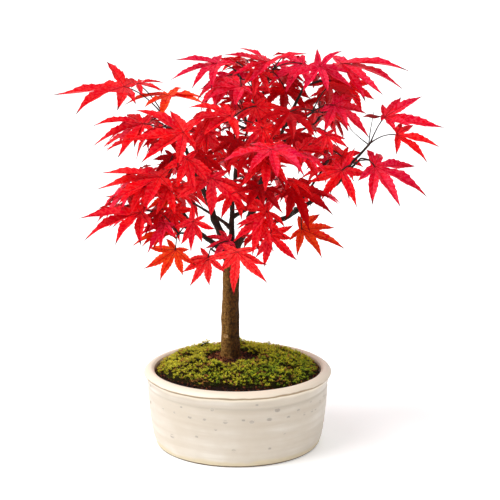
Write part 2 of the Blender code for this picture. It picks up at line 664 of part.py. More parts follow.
def main():
    for obj in list(bpy.data.objects):
        bpy.data.objects.remove(obj)
    scene = bpy.context.scene.collection
    bonsai = bpy.data.collections.new("maple_bonsai")
    cutters = bpy.data.collections.new("cutters")
    workshop = bpy.data.collections.new("leaves_being_fused")
    for collection in (bonsai, cutters, workshop):
        scene.children.link(collection)
    make_pot(bonsai)
    make_soil(bonsai)
    make_moss(bonsai, cutters)
    limbs = {"trunk": make_trunk(bonsai)}
    for row in BOUGHS:
        make_bough(row, limbs, bonsai, cutters)
    masses = []
    for row in MASSES:
        make_mass(row, limbs, masses, bonsai, workshop)


main()
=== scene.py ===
# %% [markdown]
# # A small maple in autumn leaf
# The real object is a bonsai: a slim upright maple with an open crown of red, seven-lobed
# leaves, in a round stoneware pot with a mossy mound. This lesson dresses the exact solids of
# that part with what they stand for: bark, twigs, serrated leaves, moss shoots and glaze.
# The solids give every size, so the first step loads them and keeps their box.

import math
import random
from itertools import combinations

import bpy
import numpy as np
from mathutils import Matrix, Vector
from mathutils.bvhtree import BVHTree


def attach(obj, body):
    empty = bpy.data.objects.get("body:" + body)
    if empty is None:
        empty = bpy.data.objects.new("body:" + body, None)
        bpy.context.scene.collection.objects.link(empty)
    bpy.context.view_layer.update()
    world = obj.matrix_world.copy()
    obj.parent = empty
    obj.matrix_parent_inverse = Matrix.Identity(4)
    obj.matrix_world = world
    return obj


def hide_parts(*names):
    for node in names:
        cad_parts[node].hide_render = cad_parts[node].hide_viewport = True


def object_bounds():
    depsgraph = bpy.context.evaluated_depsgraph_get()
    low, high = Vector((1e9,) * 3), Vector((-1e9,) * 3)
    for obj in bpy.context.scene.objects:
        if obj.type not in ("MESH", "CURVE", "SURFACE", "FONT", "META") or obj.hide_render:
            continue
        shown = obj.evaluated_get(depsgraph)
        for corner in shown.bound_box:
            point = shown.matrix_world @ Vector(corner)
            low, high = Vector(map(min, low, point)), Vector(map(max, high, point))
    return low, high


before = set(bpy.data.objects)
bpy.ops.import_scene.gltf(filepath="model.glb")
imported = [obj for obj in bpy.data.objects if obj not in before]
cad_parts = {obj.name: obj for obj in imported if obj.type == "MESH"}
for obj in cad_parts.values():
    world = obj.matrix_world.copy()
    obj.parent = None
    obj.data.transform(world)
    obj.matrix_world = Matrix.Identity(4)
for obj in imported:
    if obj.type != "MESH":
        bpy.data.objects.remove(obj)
cad_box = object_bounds()
MM = 0.001
print("solids", len(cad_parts), "box in mm", [round(side / MM) for side in cad_box[1] - cad_box[0]])

# %% [markdown]
# ## Meshes from arrays
# Every new piece is a surface worked out with numpy. A shape is a function on a grid of two
# parameters, and the grid's cells become quads. Two helpers do all of it: one numbers the
# quads of a grid, and one hands points and faces to Blender in one go, which is far quicker
# than adding vertices one by one. Lengths are in millimetres until a mesh is made.


# %% Grid and mesh helpers
def grid_faces(rows, columns, wrap=True):
    """Quads of a grid whose points lie row after row. Wrapped, the last column meets the first.
    They face outwards where rows run along a limb and columns turn anticlockwise round it."""
    across = np.arange(columns if wrap else columns - 1)
    beside = (across + 1) % columns
    start = np.arange(rows - 1)[:, None] * columns
    corners = (start + across, start + beside, start + columns + beside, start + columns + across)
    return np.stack(corners, -1).reshape(-1, 4)


def joined(parts):
    """Points and faces of several parts as one: the faces of each count on from the points before."""
    points, faces, before = [], [], 0
    for part_points, part_faces in parts:
        points.append(part_points)
        faces += [group + before for group in part_faces]
        before += len(part_points)
    return np.concatenate(points), faces


def add_object(name, data):
    """A new object with this data, in the scene and at its origin."""
    obj = bpy.data.objects.new(name, data)
    bpy.context.scene.collection.objects.link(obj)
    return obj


def make_piece(name, points, faces, materials, slot=None, which=None, crease=None, replaces=(), phase=None):
    """A mesh object from points in millimetres and groups of faces. which gives one material
    number a face, crease the angle in degrees from which an edge stays sharp, and phase a value
    at each point that a material can read."""
    mesh = bpy.data.meshes.new(name)
    corners = np.concatenate([group.ravel() for group in faces]).astype(np.int32)
    counts = np.concatenate([np.full(len(group), group.shape[1]) for group in faces])
    mesh.vertices.add(len(points))
    mesh.vertices.foreach_set("co", (points * MM).astype(np.float32).ravel())
    mesh.loops.add(len(corners))
    mesh.loops.foreach_set("vertex_index", corners)
    mesh.polygons.add(len(counts))
    mesh.polygons.foreach_set("loop_start", (np.cumsum(counts) - counts).astype(np.int32))
    for material in materials:
        mesh.materials.append(material)
    if which is not None:
        mesh.polygons.foreach_set("material_index", which.astype(np.int32))
    if phase is not None:
        mesh.attributes.new("phase", "FLOAT", "POINT").data.foreach_set("value", phase.astype(np.float32))
    mesh.update(calc_edges=True)
    mesh.validate()
    if crease is not None:
        mesh.shade_smooth()
        mesh.set_sharp_from_angle(angle=math.radians(crease))
    obj = add_object(name, mesh)
    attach(obj, "root")
    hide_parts(*replaces)
    print(name, int((counts - 2).sum()), "triangles")


# %% [markdown]
# ## Uneven surfaces
# Nothing on a living tree or a hand-thrown pot is even. A sum of plane waves in random
# directions is a smooth, cheap and repeatable unevenness: it is one matrix product and a sine.


# %% Waves and routes
def waves(points, length, seed, count=18):
    """A smooth uneven value near -1 to 1 at each point: the sum of sines of plane waves of about
    this length in random directions, divided by the root of half their number."""
    rng = np.random.default_rng(seed)
    ways = rng.normal(size=(count, 3))
    ways /= np.linalg.norm(ways, axis=1, keepdims=True)
    pace = 2 * math.pi / (length * rng.uniform(0.6, 1.6, count))
    shift = rng.uniform(0, 2 * math.pi, count)
    return np.sin(points @ (ways * pace[:, None]).T + shift).sum(-1) / math.sqrt(count / 2)


def smooth_route(points, spacing):
    """Points about this far apart on a smooth curve through the given ones. Each stretch is a
    Catmull-Rom cubic: it leaves a point in the direction from the one before to the one after."""
    given = np.asarray(points, float)
    ends = np.vstack([2 * given[0] - given[1], given, 2 * given[-1] - given[-2]])
    route = []
    for a, b, c, d in zip(ends, ends[1:], ends[2:], ends[3:]):
        count = max(1, round(float(np.linalg.norm(c - b)) / spacing))
        t = (np.arange(count) / count)[:, None]
        route.append(0.5 * (2 * b + (c - a) * t + (2 * a - 5 * b + 4 * c - d) * t * t
                            + (3 * b - a - 3 * c + d) * t**3))
    return np.vstack([*route, given[-1:]])


def lengths_along(route):
    """How far along the route each of its points lies."""
    return np.concatenate([[0], np.cumsum(np.linalg.norm(np.diff(route, axis=0), axis=1))])


def tubes(routes, radii, sides):
    """Round tubes along many routes at once, as (points, faces). At each point of a route two
    directions square to its tangent carry a circle: point + radius (cos a side + sin a other)."""
    routes, radii = np.asarray(routes, float), np.asarray(radii, float)
    many, rings = routes.shape[:2]
    ahead = np.gradient(routes, axis=1)
    ahead /= np.linalg.norm(ahead, axis=2, keepdims=True)
    least = np.eye(3)[np.abs(routes[:, -1] - routes[:, 0]).argmin(1)][:, None]
    side = np.cross(ahead, least)
    side /= np.linalg.norm(side, axis=2, keepdims=True)
    other = np.cross(ahead, side)
    turn = 2 * math.pi * np.arange(sides)[:, None] / sides
    ring = np.cos(turn) * side[:, :, None] + np.sin(turn) * other[:, :, None]
    points = routes[:, :, None] + radii[..., None, None] * ring
    start = np.arange(many)[:, None, None] * rings * sides
    walls = (start + grid_faces(rings, sides)[None]).reshape(-1, 4)
    feet = start[:, 0] + np.arange(sides)[::-1]
    tips = start[:, 0] + (rings - 1) * sides + np.arange(sides)
    return points.reshape(-1, 3), [walls, feet, tips]


def tapered(points, spacing, foot_radius, tip_radius, sides):
    """One tube on the smooth curve through these points that thins evenly towards its tip."""
    route = smooth_route(points, spacing)
    return tubes([route], [np.linspace(foot_radius, tip_radius, len(route))], sides)


# %% [markdown]
# ## Camera
# The photo looks slightly down on the tree, from far off, so its lines barely converge. The
# camera's place, tilt and lens were fitted to the pot's ellipses and the crown's width.

# %% Camera
EYE = (11.8, -1200.0, 432.7)
EYE_TILT, EYE_LENS, SENSOR_WIDTH = 11.57, 93.4, 36
lens = bpy.data.cameras.new("eye")
lens.lens, lens.sensor_width = EYE_LENS, SENSOR_WIDTH
lens.clip_start, lens.clip_end = 0.01, 100
camera = add_object("eye", lens)
tilted = Matrix.Rotation(math.radians(90 - EYE_TILT), 4, "X")
camera.matrix_world = Matrix.Translation(Vector(EYE) * MM) @ tilted
bpy.context.scene.camera = camera
print("camera at", EYE, "mm, lens", EYE_LENS)

# %% [markdown]
# ## Studio
# The photo is a cut-out on white with a soft shadow at the lower right: one broad lamp high at
# the left, and weaker ones low at the left, in front and behind. A sun lamp with a wide angle
# gives the same soft shadow wherever the floor is, and a white world fills the shade. Seen
# directly, that world is full white, so the floor has no dark horizon from low views. The
# Standard view keeps pure reds.


# %% Studio
def paint(red, green, blue):
    """A colour as a screen shows it, 0 to 255, turned into the linear values that shaders use."""
    share = np.array([red, green, blue]) / 255
    linear = np.where(share <= 0.04045, share / 12.92, ((share + 0.055) / 1.055) ** 2.4)
    return (*(float(value) for value in linear), 1.0)


def make_sun(name, strength, width, height, azimuth):
    """A sun lamp this wide that shines from this height and azimuth, all in degrees. The azimuth
    is 0 in front and counts anticlockwise seen from above."""
    light = bpy.data.lights.new(name, "SUN")
    light.energy, light.angle = strength, math.radians(width)
    lamp = add_object(name, light)
    lamp.rotation_euler = (math.radians(90 - height), 0, math.radians(azimuth))


SKY_STRENGTH = 0.45
bpy.context.scene.view_settings.view_transform = "Standard"
world = bpy.data.worlds.new("white_studio")
world.use_nodes = True
tree = world.node_tree
sky, backdrop = tree.nodes["Background"], tree.nodes.new("ShaderNodeBackground")
sky.inputs["Color"].default_value = backdrop.inputs["Color"].default_value = (1, 1, 1, 1)
sky.inputs["Strength"].default_value = SKY_STRENGTH
seen_directly = tree.nodes.new("ShaderNodeLightPath").outputs["Is Camera Ray"]
either = tree.nodes.new("ShaderNodeMixShader")
for socket, source in zip(either.inputs, (seen_directly, sky.outputs[0], backdrop.outputs[0])):
    tree.links.new(source, socket)
tree.links.new(either.outputs[0], tree.nodes["World Output"].inputs["Surface"])
bpy.context.scene.world = world
make_sun("broad_lamp", 2.4, 42, 55, -68)
make_sun("left_fill", 0.9, 60, 14, -100)
make_sun("front_fill", 0.25, 60, 30, 10)
make_sun("back_fill", 0.5, 60, 40, 165)

# %% [markdown]
# ## Node helpers
# A material is a net of nodes, and a script can lay it as well as a hand: it adds a node, sets
# its properties and sockets, and links it on. Short functions do that for the nodes that are
# used most, so that each finish further down reads like a recipe.


# %% Node helpers
def add_node(tree, kind, values=(), **settings):
    """One node: settings are its own properties, and values set its sockets or link to them."""
    node = tree.nodes.new(kind)
    for key, value in settings.items():
        setattr(node, key, value)
    for key, value in dict(values).items():
        if isinstance(value, bpy.types.NodeSocket):
            tree.links.new(value, node.inputs[key])
        else:
            node.inputs[key].default_value = value
    return node


def new_group(name, inputs, outputs):
    """A shader node group with these sockets. Returns its tree and the sockets of its input."""
    tree = bpy.data.node_groups.new(name, "ShaderNodeTree")
    for label, kind, value in inputs:
        tree.interface.new_socket(label, in_out="INPUT", socket_type=kind).default_value = value
    for label, kind in outputs:
        tree.interface.new_socket(label, in_out="OUTPUT", socket_type=kind)
    return tree, tree.nodes.new("NodeGroupInput").outputs


def close_group(tree, **results):
    """Hands these sockets out of a group under their labels."""
    given = tree.nodes.new("NodeGroupOutput")
    for label, socket in results.items():
        tree.links.new(socket, given.inputs[label])


def object_place(tree):
    """The place on the object itself, so that patterns stay put when it is turned."""
    return add_node(tree, "ShaderNodeTexCoord").outputs["Object"]


def noise(tree, place, scale, detail):
    """A smooth random value from 0 to 1 at each place."""
    values = {"Vector": place, "Scale": scale, "Detail": detail}
    return add_node(tree, "ShaderNodeTexNoise", values).outputs[0]


def maths(tree, operation, *values):
    """A sum of up to three values, such as the first x the second + the third."""
    return add_node(tree, "ShaderNodeMath", dict(enumerate(values)), operation=operation).outputs[0]


def ranged(tree, value, low, high, to_low=0.0, to_high=1.0):
    """The value taken from one range to another, and held at its ends."""
    limits = {"Value": value, "From Min": low, "From Max": high, "To Min": to_low, "To Max": to_high}
    return add_node(tree, "ShaderNodeMapRange", limits).outputs[0]


def mixed(tree, share, first, second):
    """The first colour where the share is 0 and the second where it is 1."""
    return add_node(tree, "ShaderNodeMix", {0: share, 6: first, 7: second}, data_type="RGBA").outputs[2]


def stretched(tree, share):
    """Object coordinates whose height counts by this share: under 1 draws a pattern out upwards."""
    factor = add_node(tree, "ShaderNodeCombineXYZ", {0: 1.0, 1: 1.0, 2: share}).outputs[0]
    values = {0: object_place(tree), 1: factor}
    return add_node(tree, "ShaderNodeVectorMath", values, operation="MULTIPLY").outputs[0]


# %% [markdown]
# ## Shared effects
# Three effects come back on many surfaces, so each is a node group: a mottle of two colours, a
# grain whose height drives a bump, and a band that fades in between two heights. Groups put
# out only colours, masks and heights. The Principled shader stays in each material.

# %% Node groups
FLOAT, COLOUR = "NodeSocketFloat", "NodeSocketColor"
WHITE, BLACK = (1, 1, 1, 1), (0, 0, 0, 1)
mottle, inside = new_group("mottle", [("Scale", FLOAT, 100), ("Stretch", FLOAT, 1), ("First", COLOUR, WHITE),
                                      ("Second", COLOUR, BLACK)], [("Colour", COLOUR), ("Mask", FLOAT)])
spread = ranged(mottle, noise(mottle, stretched(mottle, inside["Stretch"]), inside["Scale"], 4.0), 0.36, 0.64)
close_group(mottle, Colour=mixed(mottle, spread, inside["First"], inside["Second"]), Mask=spread)

grain, inside = new_group("grain", [("Coarse", FLOAT, 200), ("Fine", FLOAT, 1500), ("Fine share", FLOAT, 0.4),
                                    ("Stretch", FLOAT, 1)], [("Height", FLOAT)])
place = stretched(grain, inside["Stretch"])
coarse, fine = noise(grain, place, inside["Coarse"], 3.0), noise(grain, place, inside["Fine"], 2.0)
both = add_node(grain, "ShaderNodeMix", {0: inside["Fine share"], 2: coarse, 3: fine})
close_group(grain, Height=both.outputs[0])

band, inside = new_group("band", [("Low", FLOAT, 0), ("High", FLOAT, 1), ("Fade", FLOAT, 0.001),
                                  ("Wobble", FLOAT, 0.0)], [("Mask", FLOAT)])
place = object_place(band)
height = add_node(band, "ShaderNodeSeparateXYZ", {0: place}).outputs["Z"]
centred = maths(band, "SUBTRACT", noise(band, place, 45.0, 2.0), 0.5)
shifted = maths(band, "MULTIPLY_ADD", centred, inside["Wobble"], height)
below = maths(band, "SUBTRACT", inside["Low"], inside["Fade"])
above = maths(band, "ADD", inside["High"], inside["Fade"])
rising, falling = (ranged(band, shifted, *ends) for ends in ((below, inside["Low"]), (above, inside["High"])))
close_group(band, Mask=maths(band, "MULTIPLY", rising, falling))
print("groups", [group.name for group in (mottle, grain, band)])

# %% [markdown]
# ## Natural surfaces
# Soil, moss and bark have much in common: two near colours that change over from place to
# place, a dull gloss, and a fine relief that breaks the light. One function makes them all. The
# glaze and the leaves need more, and are made further down from the same groups.


# %% Materials
def placed(tree, group, *values):
    """Places a node group in a material with values for its inputs in their order, and returns
    its outputs."""
    return add_node(tree, "ShaderNodeGroup", node_tree=group, values=dict(enumerate(values))).outputs


def new_material(name, roughness, shine=0.5):
    """A material with its Principled shader, and its tree."""
    material = bpy.data.materials.new(name)
    material.use_nodes = True
    tree = material.node_tree
    shader = tree.nodes["Principled BSDF"]
    shader.inputs["Roughness"].default_value = roughness
    shader.inputs["Specular IOR Level"].default_value = shine
    return material, tree, shader


def bump(tree, shader, height, strength, distance):
    """A height as a bump of the shader's normal."""
    relief = add_node(tree, "ShaderNodeBump", {"Height": height, "Strength": strength, "Distance": distance})
    tree.links.new(relief.outputs[0], shader.inputs["Normal"])


def natural(name, first, second, scale, roughness, shine, grains, distance, strength=0.6, stretch=1.0):
    """A mottled, grainy surface, which most of the plant's materials are. grains gives a coarse
    scale, a fine one and the share of the fine one."""
    material, tree, shader = new_material(name, roughness, shine)
    colours = placed(tree, mottle, scale, stretch, paint(*first), paint(*second))
    tree.links.new(colours["Colour"], shader.inputs["Base Color"])
    bump(tree, shader, placed(tree, grain, *grains, stretch)["Height"], strength, distance)
    return material


# %% [markdown]
# ## Floor
# A plain pale floor that reaches past the edges of the picture. A faint glow stands for the
# light table of a product photo: it keeps the floor white and only the nearest shade grey.

# %% Floor
FLOOR_HALF, FLOOR_GREY, FLOOR_GLOW = 40.0, 0.9, 0.3
floor_mesh = bpy.data.meshes.new("floor")
floor_corners = [(x * FLOOR_HALF, y * FLOOR_HALF, 0) for x, y in ((-1, -1), (1, -1), (1, 1), (-1, 1))]
floor_mesh.from_pydata(floor_corners, [], [(0, 1, 2, 3)])
floor = add_object("floor", floor_mesh)
pale_floor, _, shader = new_material("pale_floor", 0.9, 0.2)
shader.inputs["Base Color"].default_value = (FLOOR_GREY, FLOOR_GREY, FLOOR_GREY, 1)
shader.inputs["Emission Color"].default_value = WHITE
shader.inputs["Emission Strength"].default_value = FLOOR_GLOW
floor_mesh.materials.append(pale_floor)

# %% [markdown]
# ## Pot
# The pot is thrown stoneware: a bulging wall with faint throwing ridges, a rolled lip whose
# edge has broken to brown, with painted shade under its roll, and a bare foot. It could be a
# Screw modifier on a profile. Here the same turning is one array product, so that the ridges
# can wander a little as they do under a potter's fingers. The profile's sizes are those of the
# solid.

# %% Pot surface
RIM_RADIUS, RIM_EDGE, LIP_HEIGHT, LIP_INNER, FOOT_RADIUS = 90.0, 69.5, 74.0, 81.0, 77.5
WALL = ((66, 8), (75, 16), (79.5, 66), (LIP_INNER, LIP_HEIGHT - 1.5), (LIP_INNER + 2.5, LIP_HEIGHT),
        (RIM_RADIUS - 2.6, LIP_HEIGHT - 1.6), (RIM_RADIUS, RIM_EDGE), (RIM_RADIUS - 1.5, RIM_EDGE - 2.2),
        (86.8, 62), (85.3, 38), (82.2, 13), (FOOT_RADIUS + 2, 2.5), (FOOT_RADIUS, 0))
POT_TURNS = 220
RIDGE_GAP, RIDGE_HIGH, FINE_RIDGES, FINE_HIGH = 7.4, 0.13, 2.3, 0.07
GROOVE_HEIGHT, GROOVE_DEPTH, GROOVE_WIDTH = 58.0, 0.7, 1.2


def turned_points(profile, turns, relief):
    """The profile's (radius, height) pairs carried round the axis. relief adds to the radius
    what it gives for each height and angle."""
    angle = 2 * math.pi * np.arange(turns) / turns
    radius = profile[:, :1] + relief(profile[:, 1:], angle)
    heights = np.broadcast_to(profile[:, 1:], radius.shape)
    return np.stack([radius * np.cos(angle), radius * np.sin(angle), heights], -1).reshape(-1, 3)


def throwing_ridges(heights, angle):
    """Ridges that climb by one a turn and wander a little, with finer ones between them, and a
    groove under the lip: a bell curve. All of it fades out at the foot and under the lip."""
    on_wall = np.clip((heights - 3) / 6, 0, 1) * np.clip((64 - heights) / 3, 0, 1)
    climb = heights / RIDGE_GAP + angle / (2 * math.pi) + 0.25 * np.sin(2 * angle + heights / 11)
    ridges = RIDGE_HIGH * np.sin(2 * math.pi * climb)
    ridges = ridges + FINE_HIGH * np.sin(2 * math.pi * FINE_RIDGES * climb + 3 * np.sin(angle))
    beside = (heights - GROOVE_HEIGHT - 0.5 * np.sin(angle)) / GROOVE_WIDTH
    return (ridges - GROOVE_DEPTH * np.exp(-(beside**2))) * on_wall


pot_profile = smooth_route([(radius, 0, height) for radius, height in WALL[:-1]], 1.3)[:, [0, 2]]
pot_profile = np.vstack([pot_profile, [(FOOT_RADIUS + 0.8, 0.7), (FOOT_RADIUS, 0)]])
pot_points = turned_points(pot_profile, POT_TURNS, throwing_ridges)
pot_faces = grid_faces(len(pot_profile), POT_TURNS)[:, ::-1]
inner_floor = np.arange(POT_TURNS)[None]
underside = inner_floor[:, ::-1] + (len(pot_profile) - 1) * POT_TURNS
print("pot profile", len(pot_profile), "points, carried round in", POT_TURNS, "steps")

# %% [markdown]
# ## Glaze
# The glaze is a satin cream that turns greyer in patches. It is thin and brown where it runs
# off the lip's edge, and that brown line, which lies under the lip's roll, is painted shade
# too. The glaze stops short of the foot, which shows warm bare clay, and the dark line where
# it stands is a painted shadow. A greyer band in the groove under the lip is painted shade, and
# the paler cream over the lip is painted light on its upward face. Bands by height paint those,
# with a wobble, as glaze never ends on a line: low and high edge in metres, how soon it fades,
# how far it wobbles, and its colour.

# %% Glaze
CLAY_BAND = (-0.01, 0.0044, 0.003, 0.008)
# In turn: painted shade in the groove, painted light on the lip, brown glaze edge with painted shade under
# the roll, bare clay, and a painted shadow where the foot stands.
GLAZE_BANDS = ((0.0574, 0.0586, 0.0012, 0.001, (196, 185, 169)),
               (0.0672, 0.08, 0.003, 0.004, (234, 222, 202)),
               (0.0681, 0.0692, 0.0009, 0.003, (150, 128, 98)),
               (*CLAY_BAND, (210, 196, 168)),
               (-0.01, 0.0012, 0.0006, 0.001, (98, 80, 60)))
glaze, tree, shader = new_material("cream_glaze", 0.42, 0.4)
colour = placed(tree, mottle, 30.0, 1.0, paint(218, 210, 198), paint(204, 193, 177))["Colour"]
colour = placed(tree, mottle, 9.0, 13.0, colour, paint(200, 188, 171))["Colour"]
for *heights, shade in GLAZE_BANDS:
    colour = mixed(tree, placed(tree, band, *heights)["Mask"], colour, paint(*shade))
tree.links.new(colour, shader.inputs["Base Color"])
rough = ranged(tree, placed(tree, band, *CLAY_BAND)["Mask"], 0.0, 1.0, 0.4, 0.85)
tree.links.new(rough, shader.inputs["Roughness"])
bump(tree, shader, placed(tree, grain, 130.0, 900.0, 0.35)["Height"], 0.35, 0.0006)
pot_groups = [pot_faces, inner_floor, underside]
make_piece("pot_wall", pot_points, pot_groups, [glaze], "glaze", crease=50, replaces=["pot"])

# %% [markdown]
# ## Pinholes
# Grit in the clay has burst the glaze into small grey pits, in a loose row two thirds of the way
# up and a few elsewhere. Cut as dimples they would need a very fine wall, so each is a
# small crater of its own that lies on the wall: a glazed ring that falls to a grey middle. Those
# at the front are listed as (angle, height, size), and the rest of the turn by rule.

# %% Pinholes
PIT_ROW, PIT_SIDES, PIT_WIDE, PIT_TALL = 47.0, 9, 2.1, 1.55
PIT_RINGS = np.array([(1.4, -0.12), (1.15, 0.07), (0.8, 0.05), (0.35, 0.02)])
PIT_GRAIN = (700.0, 2500.0, 0.5)
FRONT_PITS = [(-143, 47, 0.9), (-132, 48, 0.8), (-120, 47, 1.2), (-110, 47, 0.9), (-105, 57, 1.1),
              (-97, 46, 1.3), (-86, 48, 0.9), (-81, 46, 1.3), (-70, 47, 1.4), (-65, 55, 1.6),
              (-57, 46, 1.1), (-49, 50, 1.3), (-44, 45, 1.0), (-38, 54, 0.9), (-36, 45, 1.1),
              (-32, 45, 0.9), (-92, 18, 1.1), (-116, 29, 0.9), (-136, 23, 1.5), (-59, 30, 0.8),
              (-78, 62, 0.8), (-69, 18, 0.9), (-126, 55, 0.8), (-103, 38, 0.7)]
RULED_FROM, RULED_TO = -26.0, 208
pits = random.Random("pits")
pit_places, turn = list(FRONT_PITS), RULED_FROM
while turn < RULED_TO:
    pit_places.append((turn, PIT_ROW + pits.uniform(-3, 4), pits.uniform(0.6, 1.5)))
    if pits.random() < 0.5:
        beside = turn + pits.uniform(-5, 5)
        stray = pits.choice((18, 29, 54, 57, 62)) + pits.uniform(-4, 4)
        pit_places.append((beside, stray, pits.uniform(0.6, 1.2)))
    turn += pits.choice((3.5, 6, 9, 16)) + pits.uniform(0, 4)


def wall_radius(heights):
    """The wall's outer radius at these heights, read off the profile."""
    outer = pot_profile[pot_profile[:, 1].argmax():]
    return np.interp(heights, outer[::-1, 1], outer[::-1, 0])


pit_turn, pit_height, pit_size = np.array(pit_places).T[:, :, None, None]
pit_turn = np.radians(pit_turn)
around = 2 * math.pi * np.arange(PIT_SIDES) / PIT_SIDES
across = pit_size * PIT_RINGS[:, :1] * np.cos(around) * PIT_WIDE
upward = pit_size * PIT_RINGS[:, :1] * np.sin(around) * PIT_TALL + pit_height
outward = wall_radius(upward) + throwing_ridges(upward, pit_turn) + PIT_RINGS[:, 1:]
angle = pit_turn + across / outward
pit_points = np.stack([outward * np.cos(angle), outward * np.sin(angle), upward], -1).reshape(-1, 3)
start = np.arange(len(pit_places))[:, None, None] * len(PIT_RINGS) * PIT_SIDES
pit_rings = [(start + grid_faces(2, PIT_SIDES) + ring * PIT_SIDES).reshape(-1, 4)
             for ring in range(len(PIT_RINGS) - 1)]
pit_floor = start[:, 0] + (len(PIT_RINGS) - 1) * PIT_SIDES + np.arange(PIT_SIDES)
pit_which = np.repeat([0, 1, 2, 2], [*map(len, pit_rings), len(pit_floor)])
pit_edge = natural("pinhole_edge", (206, 196, 182), (198, 188, 174), 300.0, 0.6, 0.3, PIT_GRAIN, 0.0003)
pit_grey = natural("pinhole_grey", (184, 174, 162), (168, 158, 146), 300.0, 0.7, 0.3, PIT_GRAIN, 0.0003)
pit_shades = [glaze, pit_edge, pit_grey]
make_piece("glaze_pinholes", pit_points, [*pit_rings, pit_floor], pit_shades, "glaze", pit_which, 60)

# %% [markdown]
# ## Soil
# Between the moss and the wall, and round the trunk's foot, dark potting soil shows, with
# crumbs and reddish bits of bark. The solid carries a dark grainy material, and loose crumbs
# lie on it. A crumb is an octahedron whose six corners are pushed in and out at random: eight
# faces are plenty at this size.

# %% Soil and crumbs
GROUND, GROUND_RADIUS, SOIL_RADIUS, SOIL_DROP = 80.0, 26.0, 78.0, 12.0
MOSS_RADIUS, MOSS_REACH, MOSS_THICKNESS = 75.0, 79.0, 5.5
BARE_CENTRE, BARE_RADIUS = np.array([-6.0, 0.5]), 24.5
EDGE_CRUMBS, BARE_CRUMBS = 3200, 900
SOIL_GRAIN, BIT_GRAIN, SHADE_GRAIN = (500.0, 2200.0, 0.5), (600.0, 2500.0, 0.5), (400.0, 1600.0, 0.5)


def soil_height(radius):
    """Level round the trunk's foot, then falling ever faster to the pot's wall."""
    beyond = np.maximum(0, radius - GROUND_RADIUS) / (SOIL_RADIUS - GROUND_RADIUS)
    return GROUND - SOIL_DROP * beyond**1.8


def moss_reach(angle):
    """How far out the cushion's uneven edge lies at each angle: nearly at the wall, but for a bay
    at the front and small ones all round."""
    bay = 10.5 * np.exp(-4 * (1 - np.cos(angle + 1.8)))
    return MOSS_REACH - bay - 1.3 * (1 + np.sin(5 * angle + 2)) - 0.8 * (1 + np.sin(13 * angle))


def bare_reach(angle):
    """How far the patch without moss reaches from its middle at each angle."""
    return BARE_RADIUS + 1.6 * np.sin(3 * angle + 2.2) + 1.2 * np.sin(7 * angle) - 1.5 * np.sin(angle)


def on_circle(radius, angle, middle=(0, 0)):
    """Flat places this far from a middle at each angle."""
    return np.stack([middle[0] + radius * np.cos(angle), middle[1] + radius * np.sin(angle)], -1)


def on_soil(flat, lift):
    """Places this far above the soil, from flat ones."""
    return np.concatenate([flat, (soil_height(np.hypot(*flat.T)) + lift)[:, None]], -1)


OCTAHEDRON = np.array([(1, 0, 0), (-1, 0, 0), (0, 1, 0), (0, -1, 0), (0, 0, 1), (0, 0, -1)], float)
OCTA_FACES = np.array([(0, 2, 4), (2, 1, 4), (1, 3, 4), (3, 0, 4),
                       (2, 0, 5), (1, 2, 5), (3, 1, 5), (0, 3, 5)])


def crumbs(rng, middles, sizes, flatness):
    """An uneven octahedron at each middle, squeezed by flatness along one of its own axes and
    turned at random by a matrix whose columns are made square to each other."""
    shape = OCTAHEDRON * rng.uniform(0.6, 1.25, (len(middles), 6, 1)) * np.array([1, 0.7, flatness])
    turns = np.linalg.qr(rng.normal(size=(len(middles), 3, 3)))[0]
    turns *= np.sign(np.linalg.det(turns))[:, None, None]
    points = middles[:, None] + np.einsum("nij,nkj->nki", turns, shape * sizes[:, None, None])
    start = np.arange(len(middles))[:, None, None] * len(OCTAHEDRON)
    return points.reshape(-1, 3), [(start + OCTA_FACES).reshape(-1, 3)]


rng = np.random.default_rng(11)
angle = rng.uniform(0, 2 * math.pi, EDGE_CRUMBS)
inner_edge = moss_reach(angle) - 4
share = rng.uniform(0, 1, EDGE_CRUMBS)
edge_flat = on_circle(inner_edge + (SOIL_RADIUS + 0.8 - inner_edge) * share, angle)
angle = rng.uniform(0, 2 * math.pi, BARE_CRUMBS)
share = np.sqrt(rng.uniform(0.05, 1, BARE_CRUMBS))
bare_flat = on_circle((bare_reach(angle) + 1) * share, angle, BARE_CENTRE)
crumb_flat = np.concatenate([edge_flat, bare_flat])
crumb_size = rng.uniform(0.5, 1.6, len(crumb_flat))
crumb_middle = on_soil(crumb_flat, 0.35 * crumb_size)
near_trunk = np.arange(len(crumb_flat)) >= EDGE_CRUMBS
reddish = rng.uniform(size=len(crumb_flat)) < np.where(near_trunk, 0.4, 0.22)
dark_soil = natural("dark_soil", (26, 16, 13), (50, 28, 22), 260.0, 0.95, 0.2, SOIL_GRAIN, 0.002, 1.0)
bark_bits = natural("bark_bits", (130, 72, 42), (66, 32, 22), 320.0, 0.9, 0.2, BIT_GRAIN, 0.0006)
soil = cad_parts["soil"]
soil.data.materials.clear()
soil.data.materials.append(dark_soil)
for name, chosen, scale, flatness, material in (("soil_crumbs", ~reddish, 1, 0.7, dark_soil),
                                                ("bark_crumbs", reddish, 1.4, 0.35, bark_bits)):
    points, faces = crumbs(rng, crumb_middle[chosen], scale * crumb_size[chosen], flatness)
    make_piece(name, points, faces, [material], "soil")
